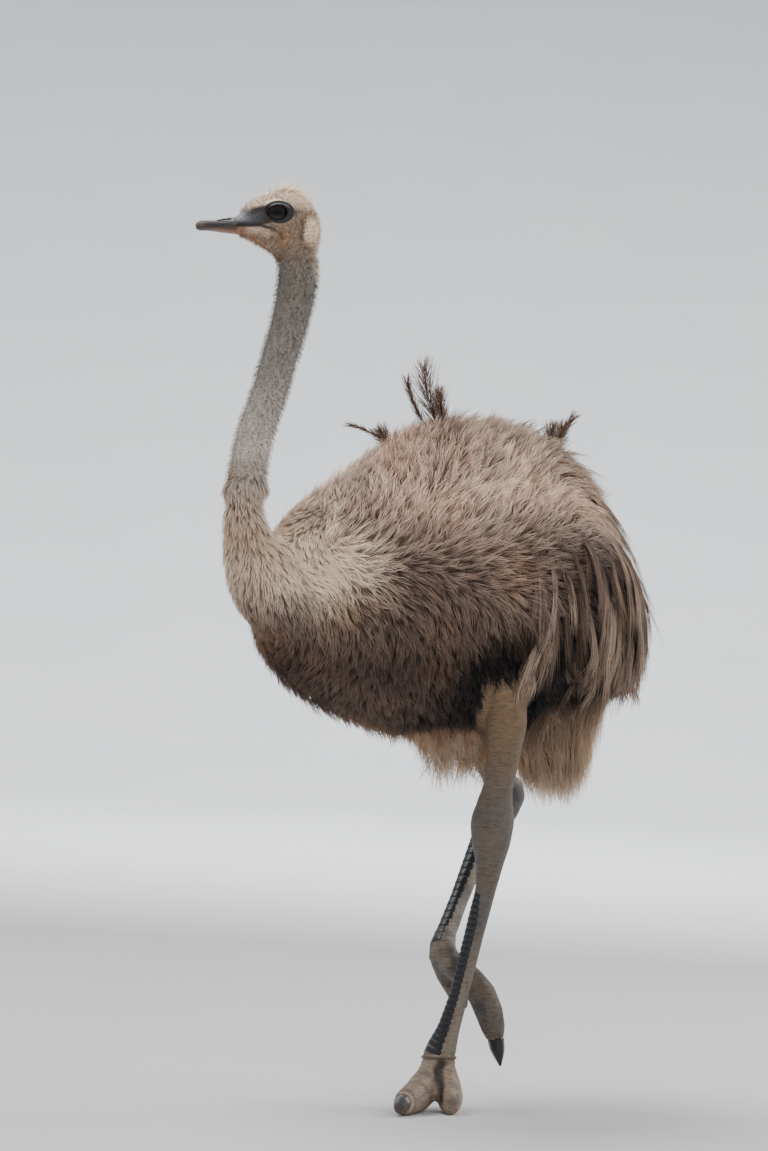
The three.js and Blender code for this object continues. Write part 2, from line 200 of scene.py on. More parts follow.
def corners(piece):
    return vectors_of(piece.data.vertices, "co")


def set_corners(piece, points):
    piece.data.vertices.foreach_set("co", points.astype(np.float32).ravel())
    piece.data.update()


def corner_normals(piece):
    return vectors_of(piece.data.vertex_normals, "vector")


def merged_copy(name, nodes):
    """One new piece from copies of CAD nodes, with their loose triangles joined."""
    piece = joined([duplicate(bpy.data.objects[node]) for node in nodes], name)
    piece.data.name = name
    edit_whole(piece, bpy.ops.mesh.remove_doubles, threshold=1e-5)
    piece.data.materials.clear()
    return piece


def line_distance(places, line):
    """Distance of each place from a line through given points."""
    nearest = np.full(len(places), 1e9)
    for start, end in zip(np.array(line[:-1], float), np.array(line[1:], float)):
        way = end - start
        share = np.clip((places - start) @ way / (way @ way), 0, 1)
        off_line = places - start - share[:, None] * way
        nearest = np.minimum(nearest, np.linalg.norm(off_line, axis=1))
    return nearest


def face_distance(ahead, above, line):
    """Distance from a line on the side of the head, in millimetres."""
    return line_distance(np.stack([ahead, above], axis=-1), line)


# ---- The skin ----
BODY_GRAIN = 0.014  # size of the remesh's cells under the long feathers
NECK_GRAIN = 0.0026
LEG_GRAIN = 0.0039
BODY_COAT = 0.026  # how deep the skin lies under the tips of the body's feathers
COLLAR_COAT = 0.012
NECK_COAT = 0.0022
CROWN_COAT = 0.008
BREAST_COAT = 0.018
CLOSING = 0.009  # the skin is swollen by this for a while, which closes the gaps between nodes
# The nodes whose copies are the bird's skin.
FLESH_NODES = ["trunk", "wing_left", "wing_right", "tail", "vent_plumes", "neck_base", "neck_middle"]
LEG_NODES = ["drumstick", "shank", "toe_inner", "toe_outer"]
LID = 1.5  # thickness of the eyelids, in millimetres
EYE_LONG, EYE_DEEP, EYE_TALL = 21.0, 14.0, 19.5  # half-sizes of the eyeball, in millimetres
OPENING_LONG, OPENING_TALL = 19.4, 13.8  # half-sizes of the opening between the lids
LID_TILT = math.radians(-5)  # the opening's front corner is the lower one
BILL_ROOT = 92  # how far ahead of the eyes the skin ends inside the bill, in millimetres
NECK_TOP = 1.66  # height at which the neck ends and the head starts
ANKLE_FOLD = 0.101  # height of the skin fold over the standing foot
FOOT_SPLIT = 0.155  # what lies further back than this belongs to the lifted foot
BROW = [(38, 9), (14, 23), (-12, 26)]  # lines on the side of the head: ahead and above, in millimetres
CHIN = [(110, -42), (70, -45), (30, -64), (2, -88)]
LIP = [(52, -36), (34, -35), (14, -40)]
NOSTRIL = [(88, -15.5), (99, -17), (110, -19)]
MOUTH_LINE = [(76, -29), (64, -28), (32, -26), (9, -30.5), (-9, -40), (-13, -47)]
CLEFT = [(-0.022, 0.110, 0.092), (-0.021, 0.100, 0.080), (0.014, 0.069, 0.054), (0.031, 0.053, 0.029)]
EAR = (-66, -29)
EAR_SLIT = [(-49, -12), (-51, -29), (-48, -44)]


def trunk_middle(y):
    """Height of the middle of the trunk, along its length."""
    share = (y - TRUNK_FRONT) / (TRUNK_REAR - TRUNK_FRONT)
    return np.interp(share, [0, 0.07, 0.3, 0.6, 0.85, 1], [0.99, 1.01, 1.035, 1.06, 1.03, 0.99])


def sink(points, normals, depth):
    return points - normals * np.asarray(depth)[..., None]


def soften(piece, chosen, iterations):
    """Smooths only the corners that are chosen."""
    group = piece.vertex_groups.new(name="soft")
    group.add(np.flatnonzero(chosen).tolist(), 1.0, "REPLACE")
    modify(piece, "SMOOTH", factor=0.5, iterations=iterations, vertex_group="soft")
    piece.vertex_groups.clear()


def swell(piece, amounts):
    set_corners(piece, sink(corners(piece), corner_normals(piece), -amounts))


def trunk_coat(points):
    """Depth of the feathers over the trunk: less at the breast, least round the neck's foot."""
    depth = BODY_COAT + (BREAST_COAT - BODY_COAT) * ease(-points[:, 1], 0.20, 0.36)
    return depth + (COLLAR_COAT - depth) * neck_zone(points)


def body_skin():
    """The trunk with its wings, tail and vent, inside the feathers by their depth."""
    piece = merged_copy("body_skin", FLESH_NODES + ["drumstick_left", "drumstick_right"])
    modify(piece, "REMESH", mode="VOXEL", voxel_size=BODY_GRAIN)
    points = corners(piece)
    stations = [-0.35, -0.2, -0.08, 0.08, 0.25, 0.42]
    ridge = np.interp(points[:, 1], stations, [1.23, 1.30, 1.36, 1.397, 1.37, 1.26])
    stray = (points[:, 2] > ridge) & (points[:, 1] > -0.34)
    points[stray, 2] = ridge[stray]
    set_corners(piece, points)
    modify(piece, "SMOOTH", factor=0.5, iterations=10)
    swell(piece, np.full(len(points), CLOSING))
    modify(piece, "REMESH", mode="VOXEL", voxel_size=BODY_GRAIN)
    modify(piece, "SMOOTH", factor=0.5, iterations=14)
    points = corners(piece)
    low = ease(-points[:, 2], -0.76, -0.66)
    swell(piece, -(trunk_coat(points) * (1 - 0.45 * low) + CLOSING))
    modify(piece, "REMESH", mode="VOXEL", voxel_size=BODY_GRAIN)
    modify(piece, "SMOOTH", factor=0.5, iterations=8)
    return piece


def neck_skin():
    """The neck and head under their short down, with lids, brow, mouth and ears."""
    piece = merged_copy("neck_skin", ["head", "neck_upper", "neck_middle", "bill_upper", "bill_lower"])
    modify(piece, "REMESH", mode="VOXEL", voxel_size=NECK_GRAIN)
    points = corners(piece)
    soften(piece, points[:, 2] < NECK_TOP, 50)
    ahead, aside, above = head_frame(corners(piece))
    soften(piece, (ahead < 90) | (points[:, 2] < NECK_TOP), 9)
    soften(piece, (ahead < 88) & (above < -42) & (above > -110), 20)
    points = corners(piece)
    shrunk = 0.0018 * (points[:, 2] < NECK_TOP)
    swell(piece, shrunk - head_coat(points))
    points = corners(piece)
    points[:, 2] -= 0.03 * (1 - ease(points[:, 2], COLLAR, COLLAR + 0.05))
    set_corners(piece, points)
    cut_ahead(piece, BILL_ROOT)
    refine(piece, lambda spots: near_eyes(spots, 0.036))
    soften(piece, near_eyes(corners(piece), 0.040), 6)
    for side in SIDES:
        close_lids(piece, side)
    sculpt_head(piece)
    return piece


def cut_ahead(piece, ahead):
    """Cuts off what lies further ahead in the head's frame, and closes the cut."""
    plane = {"plane_co": in_head(ahead, 0, 0), "plane_no": HEAD_FORWARD}
    edit_whole(piece, bpy.ops.mesh.bisect, use_fill=True, clear_outer=True, **plane)


def head_coat(points):
    """Depth of the down: more on the crown, none round the eyes and on the face."""
    ahead, aside, above = head_frame(points)
    crown = ease(above, 10, 36) * ease(-ahead, -50, -20)
    face = ease(ahead, 12, 50) * (1 - crown)
    round_eye = 1 - ease(np.hypot((ahead + 5) / 30, above / 23), 0.95, 1.25)
    depth = (NECK_COAT + (CROWN_COAT - NECK_COAT) * crown) * (1 - face) * (1 - round_eye)
    under_bill = 0.0013 * ease(ahead, 70, 80)
    return np.where(points[:, 2] > 1.58, depth + under_bill, NECK_COAT)


def refine(piece, chosen):
    """Splits the faces whose middles are chosen into smaller ones."""
    mesh = piece.data
    near = chosen(vectors_of(mesh.polygons, "center"))
    activate(piece)
    bpy.ops.object.mode_set(mode="EDIT")
    bpy.ops.mesh.select_all(action="DESELECT")
    bpy.ops.mesh.select_mode(type="FACE")
    bpy.ops.object.mode_set(mode="OBJECT")
    mesh.polygons.foreach_set("select", near)
    bpy.ops.object.mode_set(mode="EDIT")
    bpy.ops.mesh.subdivide(number_cuts=1)
    bpy.ops.object.mode_set(mode="OBJECT")


def near_eyes(points, reach):
    return np.minimum(*(np.linalg.norm(points - eye, axis=1) for eye in EYES.values())) < reach


def in_eye(side, points, long, tall, deep):
    """Unit-sized points stretched to an ellipsoid at one eye: x ahead, y above, z outwards."""
    ahead = points[:, :1] * long * MM * HEAD_FORWARD
    above = points[:, 1:2] * tall * MM * UP
    outward = points[:, 2:] * deep * MM * OUTWARD[side]
    return EYES[side] + ahead + above + outward


def face_outwards(piece):
    edit_whole(piece, bpy.ops.mesh.normals_make_consistent, inside=False)


def close_lids(piece, side):
    """Swells the skin over the eyeball and cuts the opening between the lids."""
    deselect()
    bpy.ops.mesh.primitive_uv_sphere_add(segments=64, ring_count=40, radius=1)
    cover = bpy.context.object
    points = in_eye(side, corners(cover), EYE_LONG + LID, EYE_TALL + LID, EYE_DEEP + LID)
    set_corners(cover, points)
    face_outwards(cover)
    modify(piece, "BOOLEAN", operation="UNION", solver="MANIFOLD", object=cover)
    bpy.data.objects.remove(cover)
    deselect()
    bpy.ops.mesh.primitive_cylinder_add(vertices=64, radius=1, depth=2)
    opening = bpy.context.object
    points = corners(opening)
    turn = np.arctan2(points[:, 1], points[:, 0])
    tall = np.sin(turn) * (1 - 0.10 * np.cos(turn) * np.sin(turn))
    level_ahead, level_above = OPENING_LONG * np.cos(turn), OPENING_TALL * tall
    ahead = level_ahead * math.cos(LID_TILT) - level_above * math.sin(LID_TILT)
    above = level_ahead * math.sin(LID_TILT) + level_above * math.cos(LID_TILT)
    inner = np.where(points[:, 2] > 0, 40.0, 3.0)
    set_corners(opening, in_eye(side, np.stack([ahead, above, inner], axis=1), 1, 1, 1))
    face_outwards(opening)
    modify(piece, "BOOLEAN", operation="DIFFERENCE", solver="MANIFOLD", object=opening)
    bpy.data.objects.remove(opening)


def sculpt_head(piece):
    """Brow, lid folds, mouth line, lips, ears and the bill's root, raised or sunk a little."""
    points, normals = corners(piece), corner_normals(piece)
    ahead, aside, above = head_frame(points)
    flank = ease(np.abs(aside), 10, 20)
    ring = np.hypot((ahead + 4) / 27.5, above / 21.5)
    lift = 1.5 * bell(ring, 1.08, 0.10) * flank
    lift -= 0.9 * bell(ring, 0.93, 0.05) * flank
    lift += 1.3 * bell(face_distance(ahead, above, BROW), 0, 5) * flank
    mouth = face_distance(ahead, above, MOUTH_LINE)
    side = ease(np.abs(aside), 6, 12)
    fading = side * (0.35 + 0.65 * ease(ahead, -4, 22))
    lift += (0.8 * bell(mouth, 4.5, 2.2) - 1.9 * bell(mouth, 0, 1.7)) * fading
    slit = face_distance(ahead, above, EAR_SLIT)
    lift -= 2.4 * bell(slit, 0, 2.6) * flank
    ear = np.hypot((ahead - EAR[0]) / 14, (above - EAR[1]) / 24)
    lift += 1.6 * bell(ear, 0, 1) * flank
    lift += 3.6 * ease(ahead, 64, 90) * ease(above, -24, -12)
    lift = np.where(points[:, 2] > 1.6, lift, 0)
    set_corners(piece, points + normals * (lift * MM)[:, None])


def leg_skin(side):
    """Thigh, shank and toes as one bare skin, with the fold over the standing foot."""
    piece = merged_copy(f"leg_skin_{side}", [f"{part}_{side}" for part in LEG_NODES])
    modify(piece, "REMESH", mode="VOXEL", voxel_size=LEG_GRAIN)
    hock = (box(f"shank_{side}")[1][2] + box(f"drumstick_{side}")[0][2]) / 2
    swell(piece, 0.007 * at_hock(piece, hock))
    modify(piece, "REMESH", mode="VOXEL", voxel_size=LEG_GRAIN)
    points = corners(piece)
    ankle = box(f"shank_{side}")[0][2]
    soften(piece, points[:, 2] > ankle + 0.05, 26)
    points = corners(piece)
    soften(piece, np.abs(points[:, 2] - hock) < 0.06, 60)
    modify(piece, "SMOOTH", factor=0.5, iterations=7)
    swell(piece, -0.005 * at_hock(piece, hock))
    if side == "left":
        fold_ankle(piece)
    return piece


def at_hock(piece, hock):
    """1 at the height of the hock, falling off above and below it."""
    height = corners(piece)[:, 2]
    return bell(height, hock, 0.035) * (height > 0.4)


def fold_ankle(piece):
    """The loose ring of skin where the standing foot's toes leave the shank."""
    refine(piece, lambda spots: np.abs(spots[:, 2] - ANKLE_FOLD) < 0.022)
    points = corners(piece)
    around = np.arctan2(points[:, 0] + 0.045, 0.13 - points[:, 1])
    height = (points[:, 2] - ANKLE_FOLD - 0.004 * np.sin(around + 0.6)) / MM
    ridge = 2.6 * bell(height, 0, 3.2) + 1.2 * bell(height, -9, 2.6)
    crease = 1.8 * bell(height, 6.5, 2.4) + 1.6 * bell(height, -5, 2.2)
    cleft = 4.5 * bell(cleft_distance(points), 0, 9)
    swell(piece, (ridge - crease - cleft) * MM)


def whole_skin(*parts):
    """Body, neck, head and legs as one closed skin."""
    skin = parts[0]
    for part in parts[1:]:
        modify(skin, "BOOLEAN", operation="UNION", solver="MANIFOLD", object=part)
        bpy.data.objects.remove(part)
    skin.name = "skin"
    shade_smooth(skin)
    return skin


# ---- Camera, light and floor ----
VIEW_AZIMUTH = math.radians(43)
VIEW_DISTANCE = 8.28
VIEW_ASIDE = -0.1232
VIEW_HEIGHT = 1.011
VIEW_PITCH = math.radians(0.357)
VIEW_ROLL = math.radians(3.18)
VIEW_LENS = 130.33  # for 36 mm across the longer side
BODY_AXIS = Vector((0, 0.0194, 0))


def make_camera():
    """From the front left at the height of the body, with a long lens and a slight roll."""
    toward = Vector((math.sin(VIEW_AZIMUTH), -math.cos(VIEW_AZIMUTH), 0))
    aside = Vector((math.cos(VIEW_AZIMUTH), math.sin(VIEW_AZIMUTH), 0))
    back = toward * math.cos(VIEW_PITCH) - Vector((0, 0, math.sin(VIEW_PITCH)))
    upright = back.cross(aside)
    right = aside * math.cos(VIEW_ROLL) + upright * math.sin(VIEW_ROLL)
    up = upright * math.cos(VIEW_ROLL) - aside * math.sin(VIEW_ROLL)
    bpy.ops.object.camera_add()
    camera = bpy.context.object
    place = BODY_AXIS + toward * VIEW_DISTANCE + aside * VIEW_ASIDE + Vector((0, 0, VIEW_HEIGHT))
    turn = Matrix((right, up, back)).transposed()
    camera.matrix_world = Matrix.Translation(place) @ turn.to_4x4()
    camera.data.sensor_width = 36
    camera.data.sensor_fit = "AUTO"
    camera.data.lens = VIEW_LENS
    camera.data.clip_end = 200
    bpy.context.scene.camera = camera


def add_light(name, place, aim, size, power, colour):
    bpy.ops.object.light_add(type="AREA", location=place)
    light = bpy.context.object
    light.name = name
    light.data.size = size
    light.data.energy = power
    light.data.color = colour
    light.rotation_euler = (Vector(aim) - Vector(place)).to_track_quat("-Z", "Y").to_euler()
    return light


def make_light():
    """A bright sky from above, softer lamps in front and behind, and one for the backdrop."""
    aim = (0, 0, 1.0)
    add_light("sky_light", (-1.5, -1.0, 6.5), aim, 4.0, 400, (1.0, 0.97, 0.93))
    front = add_light("front_light", (5.0, -3.0, 3.2), aim, 3.0, 150, (1.0, 0.98, 0.96))
    front.visible_glossy = False
    add_light("rear_light", (1.2, 5.2, 3.5), aim, 3.0, 190, (1.0, 0.96, 0.9))
    add_light("backdrop_light", (-4.0, 5.0, 7.5), (-15, 17, 2.0), 6.0, 2600, (0.96, 0.98, 1.0))
    world = bpy.data.worlds.new("studio")
    world.use_nodes = True
    world.node_tree.nodes["Background"].inputs["Color"].default_value = (0.86, 0.89, 0.93, 1)
    world.node_tree.nodes["Background"].inputs["Strength"].default_value = 0.70
    bpy.context.scene.world = world


# ---- Coat ----
PATCH = 0.003  # size of each tuft's patch on the unwrap
MOST_TRIANGLES = 196000
WIDEST = 0.288  # strands that reach further out to a side than this are laid back
PRESSED = 0.012  # most that such a strand still reaches beyond it


class Surface:
    """A piece's faces as a place to root feathers on."""

    def __init__(self, piece):
        mesh = piece.data
        mesh.calc_loop_triangles()
        corner = np.empty(len(mesh.loop_triangles) * 3, np.int32)
        mesh.loop_triangles.foreach_get("vertices", corner)
        self.triangles = corner.reshape(-1, 3)
        self.points = corners(piece)
        self.normals = corner_normals(piece)
        a, b, c = (self.points[self.triangles[:, k]] for k in range(3))
        self.areas = np.linalg.norm(np.cross(b - a, c - a), axis=1) / 2
        self.tree = BVHTree.FromPolygons(self.points.tolist(), self.triangles.tolist())

    def scatter(self, rng, spacing, density):
        """Evenly spread roots: places and normals, thinned by a density from 0 to 1."""
        middles = self.points[self.triangles].mean(1)
        weight = self.areas * (density(middles, self.normals[self.triangles].mean(1)) > 0)
        wanted = int(3 * weight.sum() / spacing**2)
        chosen = rng.choice(len(weight), wanted, p=weight / weight.sum())
        shares = rng.dirichlet((1, 1, 1), wanted)
        face = self.triangles[chosen]
        places = (self.points[face] * shares[..., None]).sum(1)
        normals = unit((self.normals[face] * shares[..., None]).sum(1))
        _, first = np.unique(np.floor(places / spacing).astype(int), axis=0, return_index=True)
        first = first[rng.random(len(first)) < density(places[first], normals[first])]
        return places[first], normals[first]

    def nearest(self, places):
        """The nearest place on the surface, and the normal there, for each given place."""
        found, facing = np.empty_like(places), np.empty_like(places)
        for index, place in enumerate(places):
            hit, normal, _, _ = self.tree.find_nearest(place)
            found[index], facing[index] = hit, normal
        return found, facing

    def away(self, places):
        found, _ = self.nearest(places)
        return np.linalg.norm(found - places, axis=1)


def tangent(directions, normals):
    along = directions - normals * (directions * normals).sum(-1, keepdims=True)
    return unit(along)


def body_lie(places, normals):
    """The way that the body's feathers lie: back along the flanks, down the breast and rear."""
    rise = normals[..., 2]
    angle = np.interp(rise, [-0.9, -0.45, -0.15, 0.12, 0.4, 0.75, 0.95], [40, 78, 55, 14, -28, -40, -15])
    behind = ease(places[..., 1], 0.10, 0.34)
    droop = np.interp(rise, [-0.5, 0.2, 0.8, 1.0], [88, 78, 45, 20])
    angle = angle + (droop - angle) * behind
    front = ease(-places[..., 1], 0.18, 0.42)
    angle = angle + (60 - angle) * front * ease(0.55 - rise, 0, 0.4)
    angle = np.radians(angle)
    back = tangent(np.broadcast_to(BACKWARD, places.shape), normals)
    down = tangent(np.broadcast_to(-UP, places.shape), normals)
    side = unit(np.cross(normals, back))
    side = side * np.sign((side * down).sum(-1, keepdims=True) + 1e-9)
    return unit(back * np.cos(angle)[..., None] + side * np.sin(angle)[..., None])


def down_lie(places, normals):
    return tangent(np.broadcast_to(-UP + 0.12 * BACKWARD, places.shape), normals)


def head_lie(places, normals):
    """From the bill back over the head, then down the neck."""
    ahead, aside, above = head_frame(places)
    behind = ease(-ahead, 20, 80)[..., None]
    low = ease(-above, 10, 60)[..., None]
    way = -HEAD_FORWARD * (1 - 0.7 * behind) * (1 - 0.6 * low) - UP * (0.12 + behind + low)
    return tangent(way, normals)


def swirl(places, size, phase):
    """A smooth wandering value from -1 to 1 over the body."""
    p = places / size
    return (
        np.sin(p[..., 0] * 1.7 + 2.1 * np.sin(p[..., 1] * 0.9 + phase) + phase)
        + np.sin(p[..., 1] * 1.3 + 1.8 * np.sin(p[..., 2] * 1.1 - phase))
        + np.sin(p[..., 2] * 1.5 + 2.3 * np.sin(p[..., 0] * 0.8 + 2 * phase) + 1.3 * phase)
    ) / 3


def turn_about(vectors, axes, angles):
    cosine, sine = np.cos(angles)[..., None], np.sin(angles)[..., None]
    return vectors * cosine + np.cross(axes, vectors) * sine


def march(surface, roots, normals, lengths, depths, lie, wander, bend, rings, fall):
    """Guide curves that creep along the surface, rise through the coat, and hang where it ends."""
    guides, facings = [roots], [normals]
    place, facing = roots, normals
    for ring in range(1, rings):
        share = ring / (rings - 1)
        heading = turn_about(lie(place, facing), facing, wander * (1 - 0.5 * share) + bend * (share - 0.5))
        heading = unit(heading - UP * fall * share)
        place = place + heading * (lengths / (rings - 1))[:, None]
        hit, normal = surface.nearest(place)
        height = ((place - hit) * normal).sum(1)
        wanted = depths * (1 - (1 - share) ** 1.6)
        hanging = (height > wanted) & ((fall > 0) | (normal[:, 2] < -0.5))
        place = np.where(hanging[:, None], place, hit + normal * wanted[:, None])
        facing = np.where(hanging[:, None], facing, normal)
        guides.append(place)
        facings.append(facing)
    return np.stack(guides, 1), np.stack(facings, 1)


def strands(rng, guides, facings, look):
    """Thin tapering strands fanned about each guide: rings of places, widths and frames."""
    count = look["count"]
    tufts, rings = guides.shape[:2]
    share = np.linspace(0, 1, rings)
    ahead = unit(np.gradient(guides, axis=1))
    aside = unit(np.cross(ahead, facings))
    fan = rng.uniform(-1, 1, (tufts, count))
    lift = rng.uniform(-0.4, 1, (tufts, count))
    stretch = rng.uniform(0.72, 1.0, (tufts, count))
    spread = look["spread"] * rng.uniform(0.7, 1.3, tufts)
    puff = look["puff"] * rng.uniform(0.6, 1.4, tufts)
    open_up = np.interp(share, [0, 0.4, 1], [look["root"], 1.0, look["flare"]])
    position = share * (rings - 1)
    reach = stretch[..., None] * position
    low = np.minimum(reach.astype(int), rings - 2)
    part = (reach - low)[..., None]
    index = np.arange(tufts)[:, None, None]
    centre = guides[index, low] * (1 - part) + guides[index, low + 1] * part
    aside = aside[index, low]
    facing = facings[index, low]
    phase = rng.uniform(0, 2 * np.pi, (tufts, count, 1))
    wave = look["curl"] * np.sin(phase + share * rng.uniform(2, 5, (tufts, count, 1))) * share
    sideways = (fan[..., None] * spread[:, None, None] * open_up + wave)[..., None]
    outward = (lift[..., None] * puff[:, None, None] * share)[..., None]
    centre = centre + aside * sideways + facing * outward
    thickness = np.interp(share, [0, 0.3, 0.7, 1], [0.7, 1.0, 0.75, 0.0])
    widths = look["width"] * rng.uniform(0.7, 1.25, (tufts, count, 1)) * thickness
    return centre, aside, facing, widths, fan


def strand_faces(rings):
    """Triangles of one closed three-sided strand, from its root to its point."""
    faces = [[0, 2, 1]]
    sides = ((0, 1), (1, 2), (2, 0))
    for low in range(0, 3 * (rings - 2), 3):
        high = low + 3
        for a, b in sides:
            faces += [[low + a, low + b, high + b], [low + a, high + b, high + a]]
    last, tip = 3 * (rings - 2), 3 * (rings - 1)
    faces += [[last + a, last + b, tip] for a, b in sides]
    return np.array(faces)


def smooth_mesh(name, points, triangles):
    mesh = bpy.data.meshes.new(name)
    mesh.vertices.add(len(points))
    mesh.vertices.foreach_set("co", points.astype(np.float32).ravel())
    mesh.loops.add(triangles.size)
    mesh.loops.foreach_set("vertex_index", triangles.astype(np.int32).ravel())
    mesh.polygons.add(len(triangles))
    mesh.polygons.foreach_set("loop_start", np.arange(0, triangles.size, 3, dtype=np.int32))
    mesh.polygons.foreach_set("use_smooth", np.ones(len(triangles), bool))
    mesh.update(calc_edges=True)
    return mesh


def coat_piece(name, made, patches, shades):
    """One closed mesh of strands, with each tuft's patch, tone and marking, and places along it."""
    centre, aside, facing, widths, fan = made
    tufts, count, rings = centre.shape[:3]
    half = widths[..., None] / 2
    left, right, top = centre - aside * half, centre + aside * half, centre + facing * half * 0.7
    ring = np.stack([left, right, top], axis=3)[:, :, :-1].reshape(tufts * count, (rings - 1) * 3, 3)
    points = np.concatenate([ring, centre[:, :, -1].reshape(-1, 1, 3)], axis=1)
    total, each = points.shape[:2]
    triangles = (strand_faces(rings)[None] + (np.arange(total) * each)[:, None, None]).reshape(-1, 3)
    mesh = smooth_mesh(name, points.reshape(-1, 3), triangles)
    along = np.concatenate([np.repeat(np.arange(rings - 1), 3), [rings - 1]]) / (rings - 1)
    along = np.tile(along, total)
    tuft = np.repeat(np.arange(tufts), count * each)
    patch = patches[tuft] + PATCH * np.stack([np.repeat(fan.ravel(), each) / 2, along - 0.5], axis=1)
    layer = mesh.uv_layers.new(name="OFBake")
    layer.data.foreach_set("uv", patch[triangles.ravel()].astype(np.float32).ravel())
    piece = bpy.data.objects.new(name, mesh)
    bpy.context.scene.collection.objects.link(piece)
    add_attribute(piece, "along", along)
    add_attribute(piece, "tone", np.repeat(shades["tone"].ravel(), each))
    add_attribute(piece, "marking", shades["marking"][tuft])
    return piece


def add_attribute(piece, name, values):
    if values.ndim == 1:
        layer = piece.data.attributes.new(name, "FLOAT", "POINT")
        layer.data.foreach_set("value", values.astype(np.float32))
    else:
        layer = piece.data.attributes.new(name, "FLOAT_COLOR", "POINT")
        rgba = np.concatenate([values, np.ones((len(values), 1))], axis=1)
        layer.data.foreach_set("color", rgba.astype(np.float32).ravel())


def around_body(places):
    """Unwrap of the trunk: round its long axis, and along it."""
    turn = np.arctan2(places[:, 0], places[:, 2] - trunk_middle(places[:, 1])) / (2 * np.pi) + 0.5
    along = (places[:, 1] - cad_box[0][1]) / (cad_box[1][1] - cad_box[0][1])
    return 0.01 + 0.98 * np.stack([turn, along], axis=1)


def neck_axis(heights):
    """Middle of the neck at each height, from the nodes' boxes."""
    nodes = ("neck_base", "neck_middle", "neck_upper", "head")
    ends = np.array([0.91, *[box(node)[1][2] for node in nodes]])
    halfway = (ends[:-1] + ends[1:]) / 2
    middles = np.array([middle(node) for node in nodes])
    x = np.interp(heights, halfway, middles[:, 0])
    y = np.interp(heights, halfway, middles[:, 1])
    return x, y


def around_neck(places):
    """Unwrap of the neck and head: round its bending axis, and up it."""
    x, y = neck_axis(places[:, 2])
    turn = np.arctan2(places[:, 0] - x, places[:, 1] - y) / (2 * np.pi) + 0.5
    up = (places[:, 2] - 0.9) / (cad_box[1][2] - 0.9)
    return 0.01 + 0.98 * np.stack([turn, np.clip(up, 0, 1)], axis=1)


# ---- Markings ----
BACK = rgb(180, 155, 138)
BEIGE = rgb(226, 198, 178)
CREAM = rgb(255, 238, 214)
MOUSE = rgb(128, 107, 95)
SOOT = rgb(88, 71, 63)
UMBER = rgb(46, 34, 29)
RUST = rgb(178, 132, 92)
ASH = rgb(128, 118, 112)
PITCH = rgb(14, 9, 7)
FRINGE = rgb(170, 130, 102)
TAN = rgb(172, 146, 124)
WHEAT = rgb(244, 224, 200)
NECK_BASE = rgb(222, 199, 180)
PLUME = rgb(168, 147, 131)
NECK_TONES = [(1.20, rgb(212, 199, 186)), (1.28, rgb(198, 188, 178)), (1.44, rgb(144, 137, 130)),
              (1.60, rgb(125, 117, 108))]
CROWN = rgb(255, 236, 214)
CHEEK = rgb(154, 132, 112)
PEACH = rgb(255, 233, 202)
ORANGE = rgb(190, 128, 84)
LORE = rgb(76, 76, 80)
LORE_TOP = rgb(46, 40, 35)
LID_GREY = rgb(36, 36, 37)
DARK = rgb(30, 24, 23)
THIGH = rgb(116, 92, 68)
SHANK = rgb(90, 80, 71)
TOE = rgb(134, 116, 100)
FAR_TOE = rgb(86, 73, 63)
PALE_SHANK = rgb(132, 121, 108)
HOCK_BLUE = rgb(70, 76, 84)
BILL_GREY = rgb(147, 152, 158)
BILL_PALE = rgb(166, 168, 168)
BILL_EDGE = rgb(38, 31, 29)
BILL_TIP = rgb(92, 80, 68)
LOWER_BILL = rgb(117, 76, 54)
LOWER_BILL_TIP = rgb(56, 46, 42)
LOWER_BILL_EDGE = rgb(44, 34, 30)
UNDER_BILL = rgb(126, 84, 60)
CLAW_TIP = rgb(66, 50, 40)
CLAW_GREY = rgb(56, 58, 60)
CLAW_RIDGE = rgb(128, 130, 128)
CLAW_BLACK = rgb(22, 20, 20)
SCUTE = rgb(15, 19, 26)
LOOSE_PLUME = rgb(112, 86, 70)
IRIS_DARK = rgb(20, 12, 10)
IRIS_LIGHT = rgb(38, 23, 18)
PUPIL = (0.003, 0.003, 0.004)
EYE_RIM = (0.006, 0.005, 0.005)
FLOOR_DARK = (0.60, 0.61, 0.62)
FLOOR_LIGHT = (0.66, 0.66, 0.66)


def marking(places):
    """Colour of the skin at each place on the bird."""
    return np.clip(blend(coat_marking(places), leg_marking(places), bare_skin(places)), 0, 1)


def coat_marking(places):
    """Colour of the feathers that root at each place, before each tuft's own tone."""
    x, y, z = places.T
    on_neck = ease(z, 1.19, 1.24) * ease(-y, 0.38, 0.42)
    return np.clip(blend(body_marking(places), head_marking(places), on_neck), 0, 1)


def levels(values, stops):
    """Colours between named stops along one value."""
    at = [stop for stop, _ in stops]
    tones = np.array([tone for _, tone in stops])
    return np.stack([np.interp(values, at, tones[:, k]) for k in range(3)], axis=-1)


